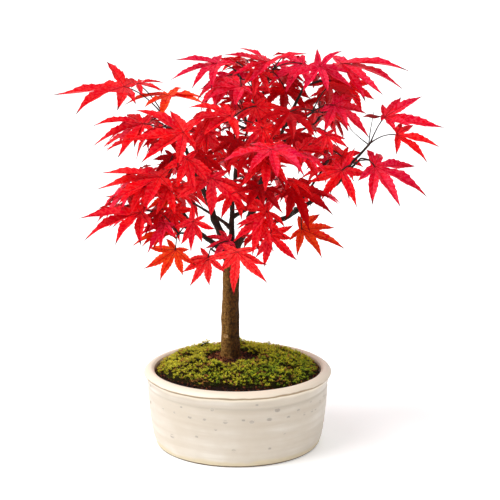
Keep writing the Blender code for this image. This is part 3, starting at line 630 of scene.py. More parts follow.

# %% [markdown]
# ## Bark chips
# Round the foot, chips and bits of old root lie in a low heap that is thicker at the left. A
# chip is a crumb pressed flat. They are dealt out by distance, so the heap thins outwards. The
# paler ones lie at the left and the darker ones at the right: painted light from the lamps at
# the left, over chips of mixed age.

# %% Bark chips
CHIPS, CHIP_NEAREST, CHIP_SPREAD = 430, 8.5, 15
HEAP_CENTRE = (-6.7, 3.0)
rng = np.random.default_rng(17)
angle = rng.uniform(0, 2 * math.pi, CHIPS)
chip_reach = CHIP_NEAREST + CHIP_SPREAD * rng.uniform(0, 1, CHIPS) ** 1.3
chip_flat = on_circle(chip_reach, angle, HEAP_CENTRE)
heap = (2.6 - 0.9 * np.cos(angle)) * np.clip(1 - (chip_reach - 8) / 15, 0, 1)
chip_size = rng.uniform(1.3, 3.4, CHIPS)
chip_middle = on_soil(chip_flat, 0.3 + heap * rng.uniform(0.2, 1, CHIPS))
points, faces = crumbs(rng, chip_middle, chip_size, 0.28)
# Paler chips towards the left and darker to the right: painted light from the lamps at the left, over a
# random spread of ages.
chip_age_and_painted_light = np.digitize(rng.uniform(size=CHIPS) + 0.018 * chip_flat[:, 0], [-0.15, 0.35])
pale_chips = natural("pale_chips", (204, 136, 88), (156, 94, 56), 320.0, 0.9, 0.2, BIT_GRAIN, 0.0006)
dark_chips = natural("dark_chips", (58, 30, 22), (28, 14, 12), 320.0, 0.9, 0.2, BIT_GRAIN, 0.0006)
chip_shades = [pale_chips, bark_bits, dark_chips]
make_piece("bark_chips", points, faces, chip_shades, "soil", np.repeat(chip_age_and_painted_light, len(OCTA_FACES)))

# %% [markdown]
# ## Moss cushion
# The moss is a low hummocky mound. Its height is a function of the place alone: the soil,
# plus the cushion's thickness and waves, drawn down to the soil near its two edges. A grid
# between the edges carries that. Only the gaps between the shoots show this body, so its
# colour is deep: painted shade of those gaps.

# %% Moss cushion
MOSS_RINGS, MOSS_TURNS = 60, 220
INNER_SLOPE, OUTER_SLOPE = 9.0, 6.0


def inside_moss(flat):
    """How far inside the cushion's inner and outer edge each flat place lies."""
    from_bare = flat - BARE_CENTRE
    inner = np.hypot(*from_bare.T) - bare_reach(np.arctan2(from_bare[:, 1], from_bare[:, 0]))
    outer = moss_reach(np.arctan2(flat[:, 1], flat[:, 0])) - np.hypot(*flat.T)
    return inner, outer


def on_moss(flat, lift=0.0):
    """Places this far above the cushion, from flat ones."""
    inner, outer = inside_moss(flat)
    edge = np.sqrt(np.clip(np.minimum(inner / INNER_SLOPE, outer / OUTER_SLOPE), 0, 1))
    level = np.concatenate([flat, np.zeros((len(flat), 1))], -1)
    humps = 1.2 * waves(level, 26, 3) + 1.1 * waves(level, 11, 4)
    thickness = MOSS_THICKNESS * (1 - 0.3 * np.minimum(1, np.hypot(*flat.T) / MOSS_RADIUS) ** 8)
    return on_soil(flat, (thickness - 1.9 + humps) * edge + 0.2 + lift)


angle = 2 * math.pi * np.arange(MOSS_TURNS) / MOSS_TURNS
inner_ring, outer_ring = on_circle(bare_reach(angle), angle, BARE_CENTRE), on_circle(moss_reach(angle), angle)
share = np.linspace(0, 1, MOSS_RINGS)[:, None, None]
cushion_flat = (inner_ring + (outer_ring - inner_ring) * share).reshape(-1, 2)
cushion_top, cushion_under = on_moss(cushion_flat), on_soil(cushion_flat, -0.5)
top_faces = grid_faces(MOSS_RINGS, MOSS_TURNS)[:, ::-1]
inner_rim = np.arange(MOSS_TURNS)
outer_rim = inner_rim + (MOSS_RINGS - 1) * MOSS_TURNS
beyond = len(cushion_top)
walls = [np.stack([rim, np.roll(rim, -1), np.roll(rim, -1) + beyond, rim + beyond], -1)[:, ::order]
         for rim, order in ((inner_rim, 1), (outer_rim, -1))]
# The deep colour of the body is painted shade in the gaps between shoots.
moss_painted_shade = natural("moss_painted_shade", (30, 32, 9), (44, 28, 12), 170.0, 1.0, 0.1, SHADE_GRAIN, 0.002, 1.0)
points, faces = np.vstack([cushion_top, cushion_under]), [top_faces, top_faces[:, ::-1] + beyond, *walls]
make_piece("moss_cushion", points, faces, [moss_painted_shade], "moss", crease=60, replaces=["moss"])

# %% [markdown]
# ## Moss shoots
# What the eye reads as moss is thousands of tiny star-shaped shoots. Each star is a ring of
# narrow kite-shaped blades that rise from one point. Each blade is folded along its middle, and
# its outer half has a brighter colour than its root: painted light on the tips and painted shade
# at the roots. Scattered purely at random, stars would clump and blur, so they stand on a grid
# of triangles and are only pushed off it a little. Yellow-green shoots prevail at the left and
# back, where the lamps shine, and greener ones at the right front: that drift is painted light
# over a random mix of tints. A lower layer is dark, painted shade under the top shoots, and
# some have gone brown: each tint is a piece.

# %% Moss shoots
BLADES, STAR_SPACING, STAR_JITTER, STAR_HALF = 8, 3.0, 1.1, 0.28
STAR_GAPS, WITHERED_SHARE, TIP_SHADE = 0.08, 0.07, 0.82
MOST_SUN, SOME_SUN = 0.2, -0.45
SHOOT_GRAIN = (900.0, 3000.0, 0.5)
KITE = np.array([(0, 4, 1), (1, 4, 2), (2, 4, 3), (3, 4, 0)])[:, ::-1]
KITE_SHADES = [0, 1, 1, 0]
MOSS_TINTS = {"bright": ((190, 186, 20), (255, 250, 84)), "olive": ((144, 150, 16), (246, 244, 62)),
              "green": ((84, 116, 18), (184, 206, 50)), "brown": ((104, 56, 30), (212, 150, 76)),
              "deep": ((36, 46, 8), (104, 116, 20))}


def scattered(rng, spacing, jitter, margin):
    """Flat places on a grid of equal triangles, each pushed off it, as far as they are in the moss."""
    count = int(2 * MOSS_REACH / spacing) + 2
    column, row = np.meshgrid(np.arange(count), np.arange(int(count * 1.16)))
    across, along = (column + 0.5 * (row % 2)) * spacing, row * spacing * math.sqrt(0.75)
    flat = np.stack([across, along], -1).reshape(-1, 2)
    flat += rng.uniform(-jitter, jitter, flat.shape) - MOSS_REACH
    return flat[np.minimum(*inside_moss(flat)) > margin]


def stars(rng, feet, slopes, lengths):
    """A star of blades at each foot: a blade has its root, two shoulders, a tip and a point on its
    middle line that lies lower, and rises by its own slope."""
    count = len(feet)
    slope = np.radians(rng.uniform(*slopes, (count, BLADES)))
    length = rng.uniform(*lengths, (count, BLADES))
    turn = np.arange(BLADES) * 2 * math.pi / BLADES + rng.uniform(-0.3, 0.3, (count, BLADES))
    turn = turn + rng.uniform(0, 6.3, (count, 1))
    out = np.stack([np.cos(turn) * np.cos(slope), np.sin(turn) * np.cos(slope), np.sin(slope)], -1)
    side = np.stack([-np.sin(turn), np.cos(turn), 0 * turn], -1)
    middle = out * (0.42 * length)[..., None]
    lift = np.array([0, 0, 1.0])
    blades = np.stack([out * 0, middle + STAR_HALF * side + 0.16 * lift, out * length[..., None],
                       middle - STAR_HALF * side + 0.16 * lift, middle - 0.06 * lift], -2)
    numbers = np.arange(count * BLADES)[:, None, None] * 5
    return (feet[:, None, None] + blades).reshape(-1, 3), [(numbers + KITE).reshape(-1, 3)]


rng = np.random.default_rng(23)
high = scattered(rng, STAR_SPACING, STAR_JITTER, 0.6)
high = high[rng.uniform(size=len(high)) > STAR_GAPS]
level = np.concatenate([high, np.zeros((len(high), 1))], -1)
# Brighter tints drift towards the left and back, where the lamps shine: painted light over a random mix.
sunny = 0.3 - 0.012 * high[:, 0] + 0.009 * high[:, 1] + 0.3 * waves(level, 24, 8)
sunny = sunny + rng.uniform(-0.7, 0.7, len(high))
drought = rng.uniform(size=len(high)) + 0.14 * waves(level, 16, 12) - 0.1 * (inside_moss(high)[1] < 6)
withered = drought < WITHERED_SHARE
kind = np.where(sunny > MOST_SUN, "bright", np.where(sunny > SOME_SUN, "olive", "green"))
kind = np.where(withered, "brown", kind)
low = scattered(rng, STAR_SPACING * 1.05, STAR_JITTER, 0.0)
for tint, (shaded, lit) in MOSS_TINTS.items():
    chosen, lifts, slopes, lengths = high[kind == tint], (0.3, 2.4), (8, 75), (2.0, 3.4)
    # The low layer is dark: painted shade under the top shoots.
    if tint == "deep":
        chosen, lifts, slopes, lengths = low, (-0.8, 0.2), (5, 50), (1.6, 2.6)
    feet = on_moss(chosen, rng.uniform(*lifts, len(chosen)))
    points, faces = stars(rng, feet, slopes, lengths)
    # Blade tips take the lit colour and roots the shaded one: painted light and painted shade.
    lit_shade = tuple(round(TIP_SHADE * value) for value in lit)
    inner = natural("moss_" + tint, shaded, shaded, 120.0, 0.8, 0.2, SHOOT_GRAIN, 0.0002, 0.3)
    outer = natural("moss_" + tint + "_tips", lit, lit_shade, 160.0, 0.7, 0.25, SHOOT_GRAIN, 0.0002, 0.3)
    which = np.tile(KITE_SHADES, len(faces[0]) // len(KITE))
    make_piece("moss_shoots_" + tint, points, faces, [inner, outer], "moss", which)

# %% [markdown]
# ## Bark
# A young maple's bark is thin and close: fine fissures that run up the stem, faint rings, and
# olive brown that turns nearly black on the boughs. The relief is real: the tube's radius
# varies by waves that are stretched along the stem. Colour comes from the mottle, and a pale
# film with a ragged edge lies over the left side of the stem, where the lamps shine: it is
# partly weathering and partly painted light.

# %% Bark materials
BARK_GRAIN, TWIG_GRAIN = (600.0, 2200.0, 0.5), (700.0, 2200.0, 0.5)
PAINTED_LIGHT_FILM_RAGGED, PAINTED_LIGHT_FILM_FROM, PAINTED_LIGHT_FILM_TO = 0.016, 0.002, -0.006
stem_grain = (800.0, 2600.0, 0.5)
stem_bark = natural("stem_bark", (96, 60, 18), (44, 26, 8), 620.0, 0.85, 0.2, stem_grain, 0.0014, 1.0, 0.8)
tree = stem_bark.node_tree
shader = tree.nodes["Principled BSDF"]
bare_bark = shader.inputs["Base Color"].links[0].from_socket
# The paler left side is a weathered film and painted light from the lamps at the left.
side = add_node(tree, "ShaderNodeSeparateXYZ", {0: object_place(tree)}).outputs["X"]
ragged = maths(tree, "MULTIPLY_ADD", noise(tree, object_place(tree), 330.0, 4.0), PAINTED_LIGHT_FILM_RAGGED, side)
weathering_and_painted_light = placed(tree, mottle, 700.0, 1.0, paint(172, 128, 62), paint(104, 68, 28))["Colour"]
bark_film_and_painted_light = mixed(tree, ranged(tree, ragged, PAINTED_LIGHT_FILM_FROM, PAINTED_LIGHT_FILM_TO), bare_bark, weathering_and_painted_light)
tree.links.new(bark_film_and_painted_light, shader.inputs["Base Color"])
bough_bark = natural("bough_bark", (54, 38, 26), (26, 19, 15), 340.0, 0.8, 0.25, BARK_GRAIN, 0.001, 0.9, 0.4)
twig_bark = natural("twig_bark", (54, 22, 20), (28, 15, 14), 200.0, 0.7, 0.25, TWIG_GRAIN, 0.0003)


def bark_relief(points):
    """How much the bark stands out, as a share of the radius: waves that are drawn out upwards."""
    drawn = points * [1, 1, 0.22]
    return 0.022 * waves(drawn, 2.6, 31) + 0.018 * waves(drawn, 7, 32)


# %% [markdown]
# ## Trunk
# The trunk is one tube up a slightly crooked route. Near the soil it flares into low root
# ridges: the radius grows by a term that fades with height and is stronger in some directions.
# Where a twig was once cut, a healed scar shows: a low ring of callus round a paler middle.

# %% Trunk
GAP = 0.3
FOOT_FLARE, FLARE_HEIGHT = 0.5, 4.5
TRUNK_AXIS = ((-6.7, 4.0, GROUND + GAP), (-6.7, 4.0, GROUND + 5), (-7.2, 4.0, 100), (-7.0, 3.5, 125),
              (-6.4, 2.5, 152), (-5.6, 2.0, 174), (-5.0, 2.0, 184), (-5.0, 2.0, 191))
TRUNK_RADII = (8.9, 8.7, 8.6, 8.2, 7.8, 7.7, 8.0, 5.6)
TRUNK_SIDES = 96
RING_GAP = 23
SCAR_TURN, SCAR_HEIGHT, SCAR_WIDE, SCAR_TALL = math.radians(-118), 24.0, 0.3, 1.9
trunk_route = smooth_route(TRUNK_AXIS, 0.6)
trunk_steps = lengths_along(trunk_route)
trunk_radii = np.interp(trunk_steps, lengths_along(np.array(TRUNK_AXIS)), TRUNK_RADII)
trunk_points, trunk_faces = tubes([trunk_route], [trunk_radii], TRUNK_SIDES)
core = np.repeat(trunk_route, TRUNK_SIDES, axis=0)
out = trunk_points - core
turn = np.arctan2(out[:, 1], out[:, 0])
height = trunk_points[:, 2] - GROUND
ridge = 0.6 + 0.45 * np.cos(5 * turn + 0.8) + 0.2 * np.sin(8 * turn)
flare = FOOT_FLARE * ridge * np.exp(-np.maximum(height, 0) / FLARE_HEIGHT)
rings = 0.008 * np.sin(height / 1.9 + 2 * np.sin(turn))
rings = rings + 0.02 * np.exp(-(((height % RING_GAP) - 11) / 1.3) ** 2)
scar = np.hypot((turn - SCAR_TURN) / SCAR_WIDE, (height - SCAR_HEIGHT) / SCAR_TALL)
callus = 0.06 * np.exp(-(((scar - 1) / 0.35) ** 2)) - 0.03 * (scar < 0.8)
trunk_points = core + out * (1 + flare + bark_relief(trunk_points) + rings + callus)[:, None]
healed = natural("healed_bark", (196, 156, 102), (150, 112, 66), 500.0, 0.75, 0.3, BARK_GRAIN, 0.001)
which = np.concatenate([(scar[group].mean(1) < 1).astype(int) for group in trunk_faces])
make_piece("trunk_bark", trunk_points, trunk_faces, [stem_bark, healed], "bark", which, 60, ["trunk"])

# %% [markdown]
# ## Surface roots
# Round the foot, thin roots leave the trunk and dive into the soil. Each is a tube along a
# route that wanders outwards while its height falls under the soil.

# %% Surface roots
ROOTS, ROOT_STEPS, ROOT_START = 13, 5, 7
rooting = random.Random("roots")
root_parts = []
for number in range(ROOTS):
    heading = 2 * math.pi * number / ROOTS + rooting.uniform(-0.2, 0.2)
    reach, thick = rooting.uniform(15, 22), rooting.uniform(0.9, 1.9)
    route = []
    for step in range(ROOT_STEPS + 1):
        out = ROOT_START + (reach - ROOT_START) * step / ROOT_STEPS
        heading += rooting.uniform(-0.16, 0.16)
        lift = thick * (1.2 - 2.4 * (step / ROOT_STEPS) ** 2)
        x, y = TRUNK_AXIS[0][0] + out * math.cos(heading), TRUNK_AXIS[0][1] + out * math.sin(heading)
        route.append((x, y, GROUND + lift))
    points, faces = tapered(route, 0.8, thick, 0.35 * thick, 8)
    root_parts.append((points + 0.12 * waves(points, 2.0, 70 + number)[:, None], faces))
root_bark = natural("root_bark", (136, 82, 52), (84, 44, 30), 380.0, 0.85, 0.25, BARK_GRAIN, 0.001)
make_piece("surface_roots", *joined(root_parts), [root_bark], "bark", crease=60)

# %% [markdown]
# ## Boughs
# Each bough is a row of the same table as in the source: what it grows from and how far
# along, the points it passes, its tip and its two radii. A finer route runs through the same
# points. Its foot swells into a collar where it leaves its parent, and every 16 mm there is a
# node, a low ring where a pair of buds sat, as maples bear them opposite each other.

# %% Boughs
BOUGHS = (
    ("left_main", "trunk", 0.93,
     ((-13, 2, 198), (-21, 2, 215), (-28, 2, 236), (-38, -2, 258), (-48, -8, 282)),
     (-61, -14, 306), 3.9, 1.2),
    ("right_main", "trunk", 0.93,
     ((2, 2, 197), (9, 0, 209), (16, 1, 229), (25, 4, 256), (34, 5, 280), (44, 2, 304)),
     (58, -4, 334), 4.2, 1.3),
    ("left_low", "trunk", 0.86, ((-20, -3, 193), (-36, -10, 205), (-55, -20, 217)),
     (-70, -28, 226), 3.3, 1.3),
    ("back_main", "trunk", 0.88, ((-6, 16, 197), (-5, 34, 218), (-4, 52, 240)), (-2, 72, 258), 3.4, 1.4),
    ("left_mid", "left_low", 0.55, ((-50, -19, 226),), (-63, -27, 246), 2.0, 1.1),
    ("low_left", "left_low", 0.45, ((-40, -22, 207),), (-48, -36, 210), 1.7, 1.0),
    ("low_front", "trunk", 0.80, ((-15, -12, 184),), (-21, -30, 192), 1.7, 1.0),
    ("front_left", "left_main", 0.40, ((-24, -12, 236),), (-26, -34, 246), 1.7, 1.0),
    ("left_high", "left_main", 0.80, ((-52, -16, 290),), (-58, -28, 296), 1.5, 1.0),
    ("back_left_high", "left_main", 0.55, ((-44, 20, 270),), (-58, 42, 288), 2.0, 1.1),
    ("low_right", "right_main", 0.22, ((18, -14, 210),), (28, -34, 217), 1.7, 1.0),
    ("right_long", "right_main", 0.20,
     ((26, -6, 212), (46, -14, 221), (63, -20, 234), (93, -28, 256), (104, -31, 274)),
     (119, -34, 291), 2.6, 1.1),
    ("right_low", "right_long", 0.36, ((50, -24, 226),), (52, -36, 232), 1.4, 0.9),
    ("right_out", "right_long", 0.80, ((101, -36, 268),), (108, -42, 276), 1.2, 0.9),
    ("right_back", "right_long", 0.42, ((62, 4, 238),), (76, 28, 252), 1.8, 1.0),
    ("front", "right_main", 0.58, ((28, -20, 268),), (29, -48, 278), 1.8, 1.0),
    ("front_low", "right_main", 0.42, ((22, -16, 240),), (20, -36, 250), 1.6, 1.0),
    ("right_inner", "right_main", 0.62, ((44, -8, 278),), (60, -22, 286), 1.6, 1.0),
    ("right_high", "right_main", 0.80, ((54, -14, 310),), (62, -28, 316), 1.5, 1.0),
    ("back_right_high", "right_main", 0.66, ((48, 22, 290),), (70, 44, 300), 2.0, 1.1),
    ("centre_main", "right_main", 0.64, ((25, 8, 292), (19, 8, 308), (12, 8, 324)), (6, 3, 342), 2.4, 1.2),
    ("top", "centre_main", 0.55, ((22, 6, 330),), (28, 2, 347), 1.5, 1.0),
    ("left_inner", "centre_main", 0.30, ((6, -8, 303),), (-2, -22, 309), 1.5, 1.0),
    ("back_top", "centre_main", 0.50, ((16, 24, 326),), (14, 40, 338), 1.7, 1.0),
    ("back_left_low", "back_main", 0.30, ((-22, 34, 214),), (-48, 52, 226), 1.9, 1.0),
    ("back_right_low", "back_main", 0.42, ((18, 40, 224),), (44, 56, 234), 1.9, 1.0),
    ("back_high", "back_main", 0.66, ((0, 60, 262),), (6, 66, 284), 1.8, 1.0),
)
BOUGH_SIDES, NODE_SPACING = 14, 16.0
COLLAR_SWELL, COLLAR_LENGTH, NODE_SWELL, NODE_WIDTH = 0.55, 5, 0.13, 1.0


def point_along(route, share):
    """The point this share of the way along a route."""
    steps = lengths_along(route)
    return np.array([np.interp(share * steps[-1], steps, route[:, axis]) for axis in range(3)])


def limb_tree(route, radii, by):
    """A tree of a limb's faces, grown by this much, for touch tests."""
    points, faces = tubes([route], [np.asarray(radii) + by], 8)
    return BVHTree.FromPolygons(points.tolist(), faces[0].tolist())


CLEARANCE = 0.6
limbs = {"trunk": (np.array(TRUNK_AXIS), np.array(TRUNK_RADII))}
limb_trees = {"trunk": limb_tree(*limbs["trunk"], CLEARANCE)}
bough_parts = []
for name, parent, share, passing, tip, foot_radius, tip_radius in BOUGHS:
    axis = smooth_route([point_along(limbs[parent][0], share), *passing, tip], 14)
    bends = random.Random(name)
    for i in range(2, len(axis) - 1):
        axis[i] += [bends.uniform(-0.9, 0.9) for _ in range(3)]
    steps = np.linspace(0, 1, len(axis))
    radii = tip_radius + (foot_radius - tip_radius) * (1 - steps) ** 1.2
    limbs[name] = (axis, radii)
    limb_trees[name] = limb_tree(axis, radii, CLEARANCE)
    route = smooth_route(axis, 1.1)
    along = lengths_along(route)
    fine_radii = np.interp(along, lengths_along(axis), radii)
    collar = COLLAR_SWELL * np.exp(-along / COLLAR_LENGTH)
    from_node = (along + bends.uniform(0, 8)) % NODE_SPACING - 8
    nodes = NODE_SWELL * np.exp(-(from_node / NODE_WIDTH) ** 2)
    points, faces = tubes([route], [fine_radii * (1 + collar + nodes)], BOUGH_SIDES)
    core = np.repeat(route, BOUGH_SIDES, axis=0)
    points = core + (points - core) * (1 + 2 * bark_relief(points))[:, None]
    bough_parts.append((points, faces))
make_piece("bough_bark", *joined(bough_parts), [bough_bark], "bark", crease=60,
           replaces=["bough_" + row[0] for row in BOUGHS])

# %% [markdown]
# ## One leaf
# A leaf has seven long lobes with toothed edges and thread-like tips. Each lobe is folded up
# from its middle rib, and the lobes hang like the ribs of an umbrella. A picture with alpha
# could stand for it, but real outlines hold up from every side. So each lobe is a strip: rows
# run from the leaf's middle to the lobe's tip, with a rib point and two edge points a row, and
# neighbours share their edges up to the notch. A leaf is then given by seven vectors, one to
# each tip, which lets every lobe hang its own way. An under side closes the blade.

# %% Leaf net
LOBES = ((0, 1.0), (37, 0.93), (74, 0.76), (116, 0.42))
LOBE_TABLE = [(-angle, length) for angle, length in reversed(LOBES[1:])] + list(LOBES)
LOBE_ROWS = np.array([9, 14, 17, 17, 17, 14, 9])
PALM_ROWS = 2
NOTCH, FOOT_NOTCH, DROOP = 0.15, 0.06, 0.24


def leaf_net():
    """The points of all lobes: for each, its lobe, row, side (-1, 0 or 1) and layer (1 above, -1
    below), and the upper and lower quads between them, before doubles are merged."""
    net, above, below, before = [], [], [], 0
    for lobe, rows in enumerate(LOBE_ROWS):
        row, side = np.meshgrid(np.arange(rows + 1), (-1, 0, 1), indexing="ij")
        for layer, group in ((1, above), (-1, below)):
            columns = np.full(row.size, lobe), row.ravel(), side.ravel(), np.full(row.size, layer)
            net.append(np.stack(columns, -1))
            quads = grid_faces(rows + 1, 3, wrap=False) + before
            group.append(quads[:, ::-layer])
            before += row.size
    return np.concatenate(net), np.concatenate(above), np.concatenate(below)


# %% [markdown]
# ## Blade
# The rib is an arch over the straight line to the tip, with a slight bend sideways. The half
# width grows from the notch to its widest at a third of the free lobe and then runs out
# into a long thread. Teeth lean forward: each is a slow rise and a quick fall, made by moving
# every second row towards the tip and pushing it out. A share makes the lobes of some leaves
# slimmer, and every leaf draws its own arches, bends and ripples.

# %% Blade surface
LOBE_WIDTH, SWELL, TAPER, THREAD = 0.098, 1.2, 1.9, 0.009
TOOTH, TOOTH_LEAN, FOLD, RIPPLE = 0.1, 0.4, 0.65, 0.022
ARCH, BEND, LONGER_DROOPS = 0.048, 0.04, 1.6
BLADE_HALF = 0.005
RIB_FOOT, LEAST_WIDTH = 0.8, 0.15


def unit(vectors):
    """The vectors at length 1."""
    return vectors / np.linalg.norm(vectors, axis=-1, keepdims=True)


def lobe_axes(tips, up):
    """Each lobe's own directions: ahead to its tip, up square to that, and sideways."""
    ahead = unit(tips)
    rise = unit(up[:, None] - (up[:, None] * ahead).sum(-1, keepdims=True) * ahead)
    return ahead, np.cross(rise, ahead), rise


def rib_points(leaf, lobe, share):
    """Places on the ribs: the share of the way along the straight line, plus an arch of
    4 s (1 - s) upwards and a bend of 6.75 s s (1 - s) sideways."""
    ahead, side, rise = (axes[:, lobe] for axes in lobe_axes(leaf["tips"], leaf["up"]))
    chord = leaf["tips"][:, lobe]
    length = np.linalg.norm(chord, axis=-1)
    arch = (leaf["arch"][:, lobe] * length * 4 * share * (1 - share))[..., None]
    bend = (leaf["bend"][:, lobe] * length * 6.75 * share**2 * (1 - share))[..., None]
    return share[..., None] * chord + arch * rise + bend * side, side, rise


def blade_points(leaf, net):
    """The net's points for many leaves. In the palm the edges lie on the line between two
    neighbouring lobes. Beyond the notch an edge is the rib, plus what the notch is away from it
    x (1 - t)^3, plus lobe width x t^SWELL (1 - t)^TAPER, scaled to 1 where that is largest, and
    a thread that lasts to the tip, sideways and folded up."""
    lobe, row, side, layer = net.T
    size = leaf["size"][:, None]
    lengths = np.linalg.norm(leaf["tips"], axis=-1)[:, lobe] / size
    rows = LOBE_ROWS[lobe]
    palm = np.clip(row / PALM_ROWS, 0, 1)
    lean = np.where((row - PALM_ROWS) % 2 == 1, TOOTH_LEAN, 0) * (row < rows)
    t = np.clip((row - PALM_ROWS + lean) / (rows - PALM_ROWS), 0, 1)
    rib_foot = RIB_FOOT * NOTCH / lengths
    share = np.where(row < PALM_ROWS, palm * rib_foot, rib_foot + (1 - rib_foot) * t)
    rib, across, rise = rib_points(leaf, lobe, share)
    foot_rib = rib_points(leaf, lobe, rib_foot)[0]
    ahead = lobe_axes(leaf["tips"], leaf["up"])[0]
    between = ahead + np.roll(ahead, -1, axis=1)
    depth = np.full(len(LOBE_ROWS), NOTCH)
    depth[-1] = FOOT_NOTCH
    lift = unit(leaf["up"])[:, None] * (0.3 * FOLD * depth)[:, None]
    notches = size[..., None] * (unit(between) * depth[:, None] + lift)
    notch = notches[:, np.where(side < 0, lobe - 1, lobe)]
    widest = SWELL / (SWELL + TAPER)
    swelling = (t / widest) ** SWELL * ((1 - t) / (1 - widest)) ** TAPER
    width = leaf["slim"][:, None] * LOBE_WIDTH * (LEAST_WIDTH + (1 - LEAST_WIDTH) * lengths) * swelling
    width = width * (1 + TOOTH * np.where((row - PALM_ROWS) % 2 == 1, 1, -1)) + THREAD * (1 - t**12)
    wave = RIPPLE * np.sin(13 * t + 2 * side + leaf["phase"][:, lobe]) * (1 - t) * (t > 0)
    free = rib + (notch - foot_rib) * ((1 - t) ** 3)[:, None]
    sideways = size[..., None] * (side * width)[..., None] * across
    free += sideways + size[..., None] * (FOLD * width + wave)[..., None] * rise
    edge = np.where((row < PALM_ROWS)[:, None], notch * palm[:, None], free)
    points = np.where((side == 0)[:, None], rib, edge)
    thick = BLADE_HALF * np.where((side != 0) & (row >= PALM_ROWS), 0, 1) * np.sqrt(1 - row / rows)
    return points + unit(leaf["up"])[:, None] * size[..., None] * (layer * thick)[:, None]


# %% [markdown]
# ## From a net to a leaf
# Every leaf draws odd arches and bends of its own from its number. Points of neighbouring lobes
# that fall on one another, in the palm and along the edges, are found on one sample leaf and
# merged, and the list of what is kept then serves for all leaves.


# %% Merged net
def lobe_vector(turn, length, lift=1.0):
    """From a leaf's middle to a lobe's tip in the leaf's own frame: a longer lobe droops more."""
    return length * math.cos(turn), length * math.sin(turn), -DROOP * lift * length**LONGER_DROOPS


def leaf_odds(tips, up, size, slim, seeds):
    """The arrays that describe many leaves: what is given, and what each draws from its own seed."""
    odd = [np.random.default_rng(seed) for seed in seeds]
    arrays = {"tips": tips, "up": up, "size": size, "slim": slim}
    for key, low, high in (("arch", -0.05, 0.04), ("bend", -BEND, BEND), ("phase", 0, 6)):
        arrays[key] = np.array([rng.uniform(low, high, len(LOBE_ROWS)) for rng in odd])
    arrays["arch"] += ARCH
    return arrays


whole_net, upper, lower = leaf_net()
flat = np.array([[lobe_vector(math.radians(angle), length) for angle, length in LOBE_TABLE]])
sample = leaf_odds(flat, np.array([[0, 0, 1.0]]), np.ones(1), np.ones(1), [1])
sample_points = np.round(blade_points(sample, whole_net)[0], 6)
kept, place = np.unique(sample_points, axis=0, return_index=True, return_inverse=True)[1:]
net = whole_net[kept]


def merged_faces(quads):
    """The faces once doubles are merged: whole quads, and those that folded into triangles."""
    quads = place.ravel()[quads]
    same = quads == np.roll(quads, -1, axis=1)
    folded = quads[same.sum(1) == 1]
    first = same[same.sum(1) == 1].argmax(1)
    return quads[~same.any(1)], np.take_along_axis(folded, (first[:, None] + np.arange(1, 4)) % 4, 1)


BLADE_GROUPS = (*merged_faces(upper), *merged_faces(lower))
BLADE_FACES = [face for group in BLADE_GROUPS for face in group.tolist()]
print("a leaf has", len(net), "points and", len(BLADE_FACES), "faces")
